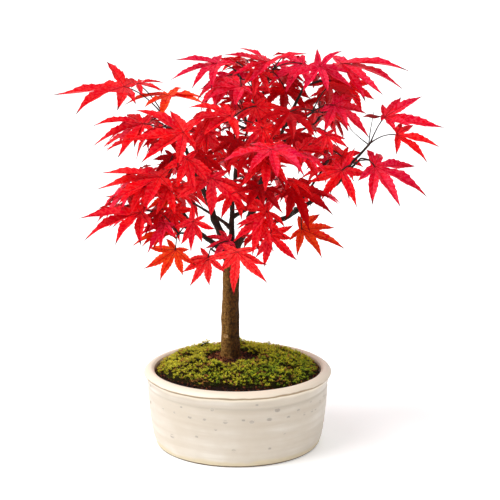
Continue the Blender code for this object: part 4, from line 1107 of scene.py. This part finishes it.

# %% [markdown]
# ## Where the leaves grow
# Each mass of foliage goes on from a limb's tip with a short stem. Its row gives its name, the
# limb, its heart, how far it reaches from there and how many leaves a rule adds. Leaves that
# the photo shows lead it. Their rows give a leaf's middle, its size, three angles (which way its
# long lobe points on the picture, how far that leans to the eye, and how far the blade faces
# up), a letter for its tint, which is an autumn tint but for d, a darker red that is painted
# shade for leaves deep in the crown, and the tips that can be seen, as points of the 500 x 500
# picture. The crown's outline and the windows where the photo shows sky, each a place and a
# radius, lie in the upright plane through the pot's axis.

# %% Foliage table
MASSES = (
    ("far_left", "left_main", (-84, -14, 330), 92, 1,
     ((-103, -10, 341, 70, 172, 5, 72, "s", ((52, 95), (75, 116), (117, 111), (106, 61), (90, 86))),
      (-63, -6, 333, 50, -100, 79, 60, "o",
       ((160, 121), (123, 106), (144, 108), (205, 104), (204, 98), (184, 88))),
      (-92, 2, 343, 28, -2, 0, 76, "s", ((165, 83), (161, 92))))),
    ("left_high", "left_high", (-66, -48, 306), 76, 1,
     ((-84, -36, 310, 50, -170, 8, 64, "s", ((92, 147), (91, 127), (117, 159), (134, 148))),
      (-47, -60, 305, 51, 178, 15, 50, "s", ((134, 110), (140, 164), (170, 110), (207, 116), (196, 153))))),
    ("left_mid", "left_mid", (-72, -44, 262), 80, 1,
     ((-69, -46, 263, 62, 176, 5, 68, "s", ((95, 190), (100, 173), (109, 203), (143, 213), (134, 171))),
      (-44, -62, 282, 34, -82, 20, 25, "s", ((177, 190), (197, 195), (216, 174))),
      (-58, -36, 281, 26, -100, 15, 30, "d", ()))),
    ("left_low", "left_low", (-84, -40, 226), 76, 1,
     ((-87, -48, 231, 55, -170, 8, 62, "s", ((83, 242), (77, 219), (115, 246), (141, 246))),
      (-63, -30, 210, 34, -172, 5, 62, "o", ((131, 247), (141, 248), (153, 250))),
      (-62, -4, 240, 30, -160, 10, 45, "o", ((102, 197),)), (-59, -36, 231, 30, -75, 15, 30, "s", ()))),
    ("low_left", "low_left", (-50, -48, 208), 56, 0,
     ((-56, -44, 196, 33, -114, 15, 25, "o", ((160, 282), (143, 269), (183, 276))),
      (-39, -57, 225, 29, -92, 10, 20, "s", ((191, 253), (191, 201), (180, 245), (202, 243), (216, 229))))),
    ("low_front", "low_front", (-20, -44, 196), 56, 0,
     ((-26, -48, 190, 30, -120, 15, 25, "c", ((189, 287), (210, 286), (185, 261))),
      (-8, -38, 203, 27, -173, 10, 55, "p", ((203, 249), (218, 230))))),
    ("low_centre", "trunk", (0, -54, 190), 56, 0,
     ((0, -52, 196, 39, -92, 8, 20, "c", ((234, 296), (268, 284), (268, 265), (259, 248), (219, 271))),)),
    ("low_right", "low_right", (28, -50, 216), 56, 1,
     ((30, -50, 211, 35, -48, 10, 25, "s", ((298, 261), (265, 268), (293, 239), (243, 236))),
      (27, -58, 234, 34, -165, 15, 55, "s", ((236, 230), (285, 228))))),
    ("right_low", "right_low", (58, -42, 228), 70, 1,
     ((59, -38, 214, 41, -16, 10, 48, "o", ((346, 250), (322, 259), (297, 257), (336, 228))),
      (51, -50, 253, 43, -25, 12, 55, "d", ((334, 216),)))),
    ("right_out", "right_out", (112, -46, 270), 76, 0,
     ((94, -50, 270, 36, -112, 12, 25, "s", ((321, 201), (357, 208), (306, 183), (355, 147), (369, 177))),
      (124, -40, 272, 55, -18, 5, 50, "m", ((428, 198), (416, 166), (401, 208), (373, 206), (380, 154))))),
    ("right_tip", "right_long", (142, -36, 310), 66, 0,
     ((133, -30, 315, 46, -1, 0, 42, "m",
       ((446, 128), (423, 96), (401, 97), (382, 104), (413, 127), (396, 133), (381, 121))),
      (143, -44, 301, 36, -20, 8, 48, "s",
       ((441, 148), (428, 164), (396, 155), (414, 125), (402, 123), (396, 126), (393, 128))))),
    ("right_top", "right_main", (86, -18, 354), 86, 0,
     ((74, -32, 361, 37, -78, 48, 40, "m", ((328, 94), (302, 94), (354, 90), (317, 48), (343, 51))),
      (95, -8, 362, 63, -5, 0, 74, "m", ((405, 91), (411, 72), (385, 96), (366, 103), (350, 66))),
      (104, 8, 341, 31, -62, 15, 40, "s", ()), (86, 6, 346, 30, -92, 15, 35, "d", ()))),
    ("top", "top", (36, -4, 352), 76, 2,
     ((27, -14, 364, 43, 170, 10, 75, "m", ((222, 54), (238, 48), (310, 54), (229, 77), (247, 84))),
      (60, 8, 361, 41, -160, 15, 60, "m", ((265, 91), (282, 57), (320, 78))),
      (44, 12, 338, 38, -95, 50, 50, "d", ()))),
    ("top_left", "centre_main", (-8, -12, 356), 76, 0,
     ((-19, -6, 362, 45, -166, 5, 64, "m", ((169, 81), (174, 60), (191, 90), (204, 65), (238, 66))),
      (4, -32, 343, 41, -179, 12, 65, "m", ((197, 90), (204, 103))),
      (-8, 12, 350, 36, -80, 15, 40, "m", ()), (14, -14, 340, 28, -75, 15, 35, "s", ()))),
    ("left_inner", "left_inner", (-2, -40, 316), 66, 0,
     ((-6, -46, 318, 40, 175, 12, 60, "s", ((188, 121), (186, 108), (238, 143))),
      (17, -26, 325, 33, -70, 15, 35, "s", ()), (23, -40, 307, 28, -95, 15, 30, "s", ()),
      (-2, -30, 296, 30, -110, 15, 30, "d", ()), (-28, -34, 302, 27, -120, 10, 30, "s", ()))),
    ("right_high", "right_high", (66, -38, 322), 70, 1,
     ((47, -46, 322, 36, -86, 42, 40, "d", ((293, 143), (259, 121), (311, 121))),
      (88, -28, 326, 42, -34, 10, 52, "m", ((370, 139), (368, 115), (348, 131))))),
    ("right_inner", "right_inner", (70, -40, 294), 66, 0,
     ((80, -42, 301, 25, -82, 20, 25, "s", ((321, 154), (308, 149), (332, 159), (349, 149))),
      (56, -52, 288, 36, -15, 15, 55, "s", ((330, 160),)), (95, -30, 280, 28, -60, 10, 35, "s", ()),
      (52, -22, 300, 28, -85, 15, 30, "d", ()))),
    ("front", "front", (30, -62, 286), 60, 2,
     ((30, -84, 293, 50, -98, 68, 40, "m", ((217, 165), (248, 175), (277, 180), (305, 178))),)),
    ("front_low", "front_low", (20, -60, 258), 56, 1,
     ((20, -66, 257, 36, -95, 60, 30, "d", ((246, 211), (265, 208), (230, 180))),)),
    ("front_left", "front_left", (-20, -56, 262), 62, 0,
     ((-22, -58, 264, 41, -93, 20, 25, "s", ((210, 218), (174, 201), (247, 209))),
      (-3, -48, 252, 31, -72, 15, 35, "s", ()), (-28, -38, 280, 30, -110, 15, 30, "d", ()))),
    ("right_back", "right_back", (86, 44, 262), 76, 4, ()),
    ("back_right_high", "back_right_high", (78, 60, 312), 84, 5, ()),
    ("back_right_low", "back_right_low", (56, 72, 242), 80, 5, ()),
    ("back", "back_main", (0, 92, 262), 76, 5, ()),
    ("back_high", "back_high", (8, 76, 302), 76, 5, ()),
    ("back_top", "back_top", (12, 46, 346), 76, 5, ()),
    ("back_left_low", "back_left_low", (-60, 70, 238), 80, 5, ()),
    ("back_left_high", "back_left_high", (-72, 54, 300), 84, 5, ()),
)
OUTLINE = ((-60, 362), (-15, 368), (40, 371), (80, 372), (140, 360), (138, 336), (116, 324), (120, 304),
           (96, 284), (114, 268), (112, 236), (90, 226), (62, 204), (36, 176), (0, 164), (-40, 164),
           (-76, 176), (-112, 198), (-148, 222), (-130, 256), (-134, 267), (-98, 266), (-90, 290),
           (-114, 274), (-138, 284), (-144, 312), (-110, 330), (-84, 342), (-50, 342))
WINDOWS = ((-5, 226, 14), (-92, 325, 9), (-44, 336, 8), (-12, 252, 6), (51, 261, 6), (73, 251, 5),
           (-48, 318, 6), (-81, 319, 5))
print(len(MASSES), "masses with", sum(len(row[5]) for row in MASSES), "leading leaves")

# %% [markdown]
# ## Aiming the lobes
# A picture gives a tip's direction from the eye but not how far away it is. The length of the
# lobe settles that: the tip lies where its line of sight meets a ball round the leaf's middle. Of
# the two such points the nearer one is taken for a lobe that hangs forward. Which tip
# belongs to which lobe is found by going round the leaf: both go round the same way, so only
# the start and the lobes without a visible tip are tried.

# %% Aim
SHORTEST_LOBE, PICTURE = 0.68, 500
FLATTEST = 1.3
TILT_COS, TILT_SIN = math.cos(math.radians(EYE_TILT)), math.sin(math.radians(EYE_TILT))


def sight(across, down):
    """The direction of the line from the eye through a point of the 500 x 500 picture."""
    focal = EYE_LENS / SENSOR_WIDTH * PICTURE
    x, y, z = Vector((across - PICTURE / 2, focal, PICTURE / 2 - down))
    return Vector((x, y * TILT_COS + z * TILT_SIN, z * TILT_COS - y * TILT_SIN)).normalized()


def pictured(point):
    """Where the eye sees a point, as tangents to the right and upwards."""
    x, y, z = Vector(point) - Vector(EYE)
    return Vector((x, z * TILT_COS + y * TILT_SIN)) / (y * TILT_COS - z * TILT_SIN)


def aimed_tip(middle, lobe, ray):
    """The lobe turned so that the eye sees its tip on this ray. Seen end-on it is shortened."""
    towards = middle - Vector(EYE)
    along = towards.dot(ray)
    beside = (along * ray - towards).length
    length = max(SHORTEST_LOBE * lobe.length, min(lobe.length, beside * FLATTEST))
    depth = math.sqrt(max(0.0, length**2 - beside**2))
    forward = 1 if lobe.dot(ray) > 0 else -1
    return Vector(EYE) + (along + forward * depth) * ray - middle


def aim_lobes(middle, lobes, tips):
    """The lobes with those that have a visible tip aimed at it."""
    if not tips:
        return lobes
    rays = [sight(*tip) for tip in tips]
    centre = pictured(middle)
    seen = [pictured(Vector(EYE) + ray * 1000) for ray in rays]
    spokes = [spot - centre for spot in seen]
    order = sorted(range(len(rays)), key=lambda i: math.atan2(spokes[i].y, spokes[i].x))
    guesses = [pictured(middle + lobe) for lobe in lobes]
    best = None
    for chosen in combinations(range(len(lobes)), len(rays)):
        for start in range(len(order)):
            pairs = list(zip(chosen, order[start:] + order[:start]))
            cost = sum((guesses[lobe] - seen[tip]).length_squared for lobe, tip in pairs)
            if best is None or cost < best[0]:
                best = (cost, pairs)
    aimed = list(lobes)
    for lobe, tip in best[1]:
        aimed[lobe] = aimed_tip(middle, lobes[lobe], rays[tip])
    return aimed


# %% [markdown]
# ## Place and shape of a leaf
# A leaf that leads a mass takes its place and turn from its row. For the others a rule draws
# them: a petiole that rises outwards from the stem, to one side or the other, and a blade that
# hangs down and out from its end. Both then draw slightly odd lobes. The corners of the outline
# are enough to tell whether a leaf stays inside the crown that the photo shows.


# %% Leaf rule
def drawn_lobes(frame_matrix, size, seed):
    """The vectors from a leaf's middle to its tips, with the turns, lengths and droop it draws."""
    rule = random.Random(seed)
    lobes = [(math.radians(angle + rule.uniform(-4, 4)), length * rule.uniform(0.9, 1.06))
             for angle, length in LOBE_TABLE]
    lift = rule.uniform(0.7, 1.3)
    turned = frame_matrix.to_3x3()
    return [turned @ Vector(lobe_vector(turn, length, lift)) * size for turn, length in lobes]


def outline_corners(middle, lobes, up, size):
    """The leaf's outline with its middle: two shoulders and a tip a lobe and one point a notch."""
    corners = [middle]
    for i, lobe in enumerate(lobes):
        if i:
            between = (lobes[i - 1].normalized() + lobe.normalized()).normalized()
            corners.append(middle + between * NOTCH * size)
        side = up.cross(lobe).normalized() * LOBE_WIDTH * (0.4 * size + 0.6 * lobe.length)
        corners += [middle + 0.5 * lobe - side, middle + lobe, middle + 0.5 * lobe + side]
    return corners


def leaf_arrays(chosen):
    """What blade_points needs for these leaves."""
    tips = np.array([[tuple(lobe) for lobe in leaf["lobes"]] for leaf in chosen])
    up = np.array([tuple(leaf["up"]) for leaf in chosen])
    size, slim = (np.array([leaf[key] for leaf in chosen]) for key in ("size", "slim"))
    return leaf_odds(tips, up, size, slim, [leaf["number"] for leaf in chosen])


def frame_of(middle, ahead, up):
    """A matrix that takes a leaf's own x to ahead and its z as near to up as it can."""
    ahead = ahead.normalized()
    normal = (up - up.dot(ahead) * ahead).normalized()
    side = normal.cross(ahead)
    return Matrix.Translation(middle) @ Matrix((ahead, side, normal)).transposed().to_4x4()


def leading_frame(row):
    """Place and turn of a leaf that leads its mass, as the table gives them."""
    x, y, z, _, aim, lean, face = row[:7]
    aim, lean, face = math.radians(aim), math.radians(lean), math.radians(face)
    ahead = Vector((math.cos(aim) * math.cos(lean), -math.sin(lean), math.sin(aim) * math.cos(lean)))
    return frame_of(Vector((x, y, z)), ahead, Vector((0, -math.cos(face), math.sin(face))))


def ruled_frame(foot, heading, side, rule):
    """Place and turn of a leaf that the rule adds: on a petiole that rises outwards from the
    stem, to one side or the other, with the blade hanging down and out."""
    turn = heading + side * math.radians(rule.uniform(15, 75))
    rise = math.radians(rule.uniform(-15, 50))
    reach = rule.uniform(16, 34)
    out = Vector((math.cos(turn), math.sin(turn), 0))
    middle = foot + reach * (out * math.cos(rise) + Vector((0, 0, math.sin(rise))))
    fall = math.radians(rule.uniform(10, 45))
    ahead = out * math.cos(fall) - Vector((0, 0, math.sin(fall)))
    roll = Vector((-out.y, out.x, 0)) * rule.uniform(-0.4, 0.4)
    return frame_of(middle, ahead, Vector((0, 0, 1)) + 0.4 * out + roll)


def seen_in_crown(corners):
    """Whether the eye sees all these points inside the crown's outline and beside its windows."""
    eye = Vector(EYE)
    for corner in corners:
        seen = eye + (corner - eye) * (-eye.y / (corner.y - eye.y))
        inside = False
        for (ax, az), (bx, bz) in zip(OUTLINE, OUTLINE[1:] + OUTLINE[:1]):
            if (az > seen.z) != (bz > seen.z) and seen.x < ax + (bx - ax) * (seen.z - az) / (bz - az):
                inside = not inside
        if not inside or any(math.hypot(seen.x - x, seen.z - z) < radius for x, z, radius in WINDOWS):
            return False
    return True


# %% [markdown]
# ## Trying a leaf
# Each leaf is tried before it is kept. The corners of its outline tell whether it stays in its
# space, and a tree of bounding boxes over its blade tells whether it cuts a limb or another
# leaf. That is slower than a test by distances, but flat leaves can then lie close together.

# %% Trying a leaf
# The letter d gives a darker red that is painted shade for leaves deep in the crown; the others are autumn
# tints.
LEAF_TINTS = {"s": "scarlet", "m": "crimson", "c": "coral", "o": "orange", "p": "pink", "d": "dark"}
ADDED_TINTS = "sdmsds"
SLIM, SLIM_TIPS = 0.87, 4
leaves, leaf_trees = [], []
box_low, box_high = Vector(cad_box[0]) / MM, Vector(cad_box[1]) / MM


def crosses(tree, middle, size):
    """Whether a blade cuts a limb, or a leaf that is near enough to matter."""
    if any(limb.overlap(tree) for limb in limb_trees.values()):
        return True
    return any((middle - other_middle).length < size + other_size and other.overlap(tree)
               for other, other_middle, other_size in leaf_trees)


def in_box(point):
    """Whether a point lies in the box of the solids."""
    return all(low < value < high for low, value, high in zip(box_low, point, box_high))


def added_tint(name, number):
    """The tints of the leaves that the rule adds, dealt out in turn."""
    return ADDED_TINTS[(number + len(name)) % len(ADDED_TINTS)]


def grow(foot, frame_matrix, size, seed, tint, tips=(), space=None):
    """Adds a leaf and its petiole if the leaf crosses nothing and stays in its space: near a
    point, behind the foremost y, within the crown's outline and in the solids' box."""
    middle, up = frame_matrix.to_translation(), frame_matrix.to_3x3().col[2]
    lobes = aim_lobes(middle, drawn_lobes(frame_matrix, size, seed), tips)
    if space is not None:
        heart, reach, foremost = space
        corners = outline_corners(middle, lobes, up, size)
        near = all((corner - heart).length <= reach and corner.y >= foremost for corner in corners)
        if not (near and seen_in_crown(corners) and all(map(in_box, corners))):
            return False
    leaf = {"middle": middle, "up": up, "lobes": lobes, "size": size, "tint": tint, "foot": foot,
            "slim": SLIM if len(tips) >= SLIM_TIPS else 1.0, "number": len(leaves)}
    points = blade_points(leaf_arrays([leaf]), net)[0] + np.array(middle)
    tree, longest = BVHTree.FromPolygons(points.tolist(), BLADE_FACES), max(lobe.length for lobe in lobes)
    if crosses(tree, middle, longest):
        return False
    leaf_trees.append((tree, middle, longest))
    leaves.append(leaf)
    return True


# %% [markdown]
# ## Leading leaves
# Every mass first gets its stem and the leaves that the photo shows. Where such a leaf would
# cut something, it moves a little along its line of sight, which hardly changes its picture.

# %% Leading leaves
STEM_RADIUS, STEM_LENGTH = 1.1, 15.0
SHORT_STEMS = {"right_tip": 2.0}
FEET_APART = 0.35
SHIFTS = (0, -4, 4, -8, 8, -12, 12, -16, 16, -20, 20, -24, 24, 30, -30)
stems = {}


def mass_stem(name, limb, heart):
    """The stem that goes on from a limb's tip: its root, its bend and its tip."""
    length = SHORT_STEMS.get(name, STEM_LENGTH)
    axis, radii = limbs[limb]
    if limb == "trunk":
        root, onward = Vector(TRUNK_AXIS[-2]) - Vector((0, radii[-2] - 1, 0)), Vector((0, -1, 0))
    else:
        root, onward = Vector(axis[-1]), (Vector(axis[-1]) - Vector(axis[-2])).normalized()
    bend = root + onward * length * 0.4
    return [root, bend, bend + (onward + (heart - root).normalized()).normalized() * length * 0.6]


for name, limb, heart, *_, leading in MASSES:
    stems[name] = mass_stem(name, limb, Vector(heart))
    bend, tip = stems[name][1:]
    limb_trees[name + " stem"] = limb_tree(smooth_route(stems[name], 3), STEM_RADIUS, 0)
    for number, row in enumerate(leading):
        foot = bend.lerp(tip, max(0.0, 1 - FEET_APART * number))
        ray = (Vector(row[:3]) - Vector(EYE)).normalized()
        for shift in SHIFTS:
            moved = Matrix.Translation(shift * ray) @ leading_frame(row)
            if grow(foot, moved, row[3], f"{name} leading {number}", row[7], row[8]):
                break
        else:
            print("leading leaf", number, "of", name, "left out")
print(len(leaves), "leading leaves")

# %% [markdown]
# ## Leaves by rule
# The rest of a mass is drawn by the rule, again and again until a leaf fits: first the planned
# number, then a few smaller ones. None may come far ahead of the leaves that lead the mass, as
# those are the ones that the photo shows.

# %% Leaves by rule
TRIES = 160
SMALL_LEAVES, SMALL_SHARE = 3, 0.85
MIDDLES_AHEAD, EDGES_AHEAD = 8, 22
for name, _, heart, reach, added, leading in MASSES:
    heart, (bend, tip) = Vector(heart), stems[name][1:]
    outward = heart - Vector((*TRUNK_AXIS[-1][:2], heart.z))
    heading = math.atan2(outward.y, outward.x)
    face = sum(row[1] for row in leading) / len(leading) if leading else -math.inf
    for number in range(added + SMALL_LEAVES):
        for attempt in range(TRIES):
            seed = f"{name} added {number} {attempt}"
            rule = random.Random(seed)
            foot = bend.lerp(tip, rule.uniform(0.1, 1))
            size = rule.uniform(32, 46) * (1 if number < added else SMALL_SHARE)
            turned = ruled_frame(foot, heading, 1 if number % 2 else -1, rule)
            if turned.to_translation().y < face - MIDDLES_AHEAD:
                continue
            space = (heart, reach, face - EDGES_AHEAD)
            if grow(foot, turned, size, seed, added_tint(name, number), space=space):
                break
print(len(leaves), "leaves grown in the masses")

# %% [markdown]
# ## Side shoots
# A real crown also has leaves along its boughs, on short petioles of their own. They go where
# the masses leave a gap: a leaf is kept only where no other leaf's middle is near. Below the
# crown's heart the front stays bare, as the photo shows.

# %% Side shoots
SHOOTS, SHOOT_GAP, SHOOT_REACH = 7, 30.0, 70.0
SHOOT_SIZES = (30, 42)
LOWEST, FRONT_LOWEST, FRONT_FROM = 236, 288, 6
TRUNK_TOP = TRUNK_AXIS[-1]
for name, (axis, _) in limbs.items():
    route = smooth_route(axis, 4)
    for number in range(SHOOTS if name != "trunk" else 0):
        for attempt in range(TRIES):
            seed = f"{name} shoot {number} {attempt}"
            rule = random.Random(seed)
            foot = Vector(route[int(rule.uniform(0.25, 1) * (len(route) - 1))])
            if foot.z < LOWEST or (foot.y < FRONT_FROM and foot.z < FRONT_LOWEST):
                continue
            heading = math.atan2(foot.y - TRUNK_TOP[1], foot.x - TRUNK_TOP[0]) + rule.uniform(-1.8, 1.8)
            turned, size = ruled_frame(foot, heading, rule.choice((-1, 1)), rule), rule.uniform(*SHOOT_SIZES)
            middle = turned.to_translation()
            if any((leaf["middle"] - middle).length < SHOOT_GAP for leaf in leaves):
                continue
            space = (foot, SHOOT_REACH, -math.inf)
            if grow(foot, turned, size, seed, added_tint(name, number), space=space):
                break
print(len(leaves), "leaves grown")

# %% [markdown]
# ## Leaf pieces
# All blades of a tint become one mesh: the net is worked out for every leaf at once, from its
# seven vectors and its own drawn arches and bends. The upper side is deep in colour, the under
# side is paler, and the tips are darker, as they wither first. Side veins run from the rib
# forward into every tooth. They could be an image, but a value at each point does it: it grows
# by pi a row and falls by 2 pi from the rib to the edge, so the peaks of its sine are slanting
# lines two rows apart.

# %% Leaf tints and blades
VEIN_FADE, VEIN_SHARE, VEIN_DEPTH = 0.7, 0.26, 0.8
HIGHLIGHT_FLECK_FADE, HIGHLIGHT_FLECK_SHARE = (0.45, 0.8), 0.25


def leaf_material(name, first, second, flecks):
    """Broad patches of two near tints, and small paler flecks that are painted highlights. The
    veins, where the sine of the phase is near its peak, are paler too and lie a little lower."""
    material, tree, shader = new_material(name, 0.36, 0.05)
    first, second, flecks = paint(*first), paint(*second), paint(*flecks)
    broad = placed(tree, mottle, 45.0, 1.0, first, second)["Colour"]
    # The small paler flecks are painted highlights.
    small = placed(tree, mottle, 420.0, 1.0, flecks, first)["Mask"]
    colour = mixed(tree, ranged(tree, small, *HIGHLIGHT_FLECK_FADE, 0.0, HIGHLIGHT_FLECK_SHARE), broad, flecks)
    phase = add_node(tree, "ShaderNodeAttribute", attribute_name="phase").outputs["Fac"]
    vein = ranged(tree, maths(tree, "SINE", phase), VEIN_FADE, 1.0, 0.0, VEIN_SHARE)
    tree.links.new(mixed(tree, vein, colour, flecks), shader.inputs["Base Color"])
    heights = placed(tree, grain, 240.0, 1100.0, 0.35)["Height"]
    bump(tree, shader, maths(tree, "MULTIPLY_ADD", vein, -VEIN_DEPTH, heights), 0.5, 0.0007)
    return material


# The third colour of each tint serves the paler veins and the painted highlights.
TINT_COLOURS = {"scarlet": ((244, 0, 10), (220, 0, 34), (255, 84, 80)),
                "crimson": ((218, 0, 54), (232, 0, 28), (248, 90, 116)),
                "coral": ((250, 30, 40), (240, 12, 24), (255, 110, 96)),
                "orange": ((250, 54, 12), (234, 12, 18), (255, 134, 54)),
                "pink": ((244, 24, 72), (232, 10, 44), (255, 116, 136)),
                # Painted shade: a darker red for leaves deep in the crown.
                "dark": ((196, 0, 8), (158, 0, 12), (214, 20, 26))}
UNDER_PALER, UNDER_TARGET = 0.22, (224, 90, 84)
TIP_SHARE, TIP_DARKER = 0.86, 0.55


def paler(colour):
    """A tint moved this share of the way to the under side's own."""
    return tuple(value + (target - value) * UNDER_PALER for value, target in zip(colour, UNDER_TARGET))


def darker(colour):
    """A tint as it is on the withering tips."""
    return tuple(value * TIP_DARKER for value in colour)


spray_nodes = ["spray_" + row[0] for row in MASSES]
RIB_POINTS, RIB_END = 9, 0.9
rib_parts = []
for key, tint in LEAF_TINTS.items():
    chosen = [leaf for leaf in leaves if leaf["tint"] == key]
    arrays = leaf_arrays(chosen)
    middles = np.array([tuple(leaf["middle"]) for leaf in chosen])[:, None]
    points = blade_points(arrays, net) + middles
    start = np.arange(len(chosen))[:, None, None] * len(net)
    groups = [(start + group).reshape(-1, group.shape[1]) for group in BLADE_GROUPS]
    far = net[:, 1] / LOBE_ROWS[net[:, 0]]
    which = np.concatenate([np.tile(np.where(far[group].mean(1) > TIP_SHARE, 2, i > 1), len(chosen))
                            for i, group in enumerate(BLADE_GROUPS)])
    shades = TINT_COLOURS[tint]
    looks = (("", shades), ("_under", map(paler, shades)), ("_tips", map(darker, shades)))
    materials = [leaf_material("leaf_" + tint + part, *colours) for part, colours in looks]
    phase = np.tile(math.pi * (net[:, 1] - 2 * np.abs(net[:, 2]) - 0.5), len(chosen))
    points = points.reshape(-1, 3)
    make_piece("leaves_" + tint, points, groups, materials, "leaf", which, 40, spray_nodes, phase)
    lobe = np.repeat(np.arange(len(LOBE_ROWS)), RIB_POINTS)
    share = np.tile(np.linspace(0, RIB_END, RIB_POINTS), len(LOBE_ROWS)) + np.zeros((len(chosen), 1))
    above = unit(arrays["up"])[:, None] * arrays["size"][:, None, None] * BLADE_HALF
    rib_parts.append((rib_points(arrays, lobe, share)[0] + above + middles).reshape(-1, RIB_POINTS, 3))

# %% [markdown]
# ## Ribs, petioles and stems
# A darker rib runs down each lobe. The petioles are thin, dark and slightly bowed, and thicken
# where they leave the twig. All are tubes from one call each.

# %% Ribs, petioles and stems
rib_routes = np.concatenate(rib_parts)
rib_radii = np.linspace(0.3, 0.12, RIB_POINTS) + np.zeros((len(rib_routes), 1))
rib_grain = (400.0, 1500.0, 0.5)
rib_colour = natural("leaf_rib", (178, 4, 22), (150, 2, 14), 90.0, 0.5, 0.15, rib_grain, 0.0002, 0.3)
make_piece("leaf_ribs", *tubes(rib_routes, rib_radii, 3), [rib_colour], "leaf", crease=70)
PETIOLE_POINTS, PETIOLE_RADIUS = 9, 0.75
t = np.linspace(0, 1, PETIOLE_POINTS)[:, None]
petiole_routes = []
for leaf in leaves:
    foot, end = np.array(leaf["foot"]), np.array(leaf["middle"])
    bow = np.array([0, 0, 0.1]) * np.linalg.norm(end - foot)
    petiole_routes.append(foot + (end - foot) * t + 4 * bow * t * (1 - t))
petiole_radii = 0.54 + 0.3 * (1 - t[:, 0]) ** 6 + 0.1 * t[:, 0] ** 6
petiole_radii = petiole_radii + np.zeros((len(leaves), 1))
make_piece("petioles", *tubes(petiole_routes, petiole_radii, 6), [twig_bark], "bark", crease=60)
stem_parts = []
for name, limb, *_ in MASSES:
    radius = min(STEM_RADIUS, limbs[limb][1][-1])
    stem_parts.append(tapered([tuple(point) for point in stems[name]], 1.5, radius, PETIOLE_RADIUS, 8))
make_piece("stems", *joined(stem_parts), [bough_bark], "bark", crease=60)

# %% [markdown]
# ## Bare twigs
# At the fork on the right two thin twigs have lost their leaves, and the longer one still holds
# a withered leaf, rolled up into a dark spindle. Two more twigs stand bare further in.

# %% Bare twigs
FORK = (119, -34, 291)
TWIGS = ((FORK, (120, -35, 303), (123, -36, 322)), (FORK, (111, -34, 297), (101, -34, 306)),
         ((92, -27, 256), (88, -38, 262), (83, -48, 266)), ((-30, 2, 242), (-33, -14, 252), (-34, -26, 260)))
TWIG_RADIUS = 0.6
twig_parts = [tapered(points, 1.5, TWIG_RADIUS, 0.35 * TWIG_RADIUS, 6) for points in TWIGS]
make_piece("bare_twigs", *joined(twig_parts), [twig_bark], "bark", crease=60)
spindle = smooth_route(((112, -37, 316), (118, -37, 317.5), (124, -37, 316.5), (131, -37, 317)), 0.8)
spindle_radii = 0.15 + 1.7 * np.sin(np.linspace(0, math.pi, len(spindle))) ** 1.5
spindle_grain = (600.0, 2000.0, 0.5)
withered = natural("withered_leaf", (150, 16, 20), (96, 14, 16), 300.0, 0.7, 0.2, spindle_grain, 0.0006)
make_piece("withered_leaf", *tubes([spindle], [spindle_radii], 10), [withered], "leaf", crease=60)
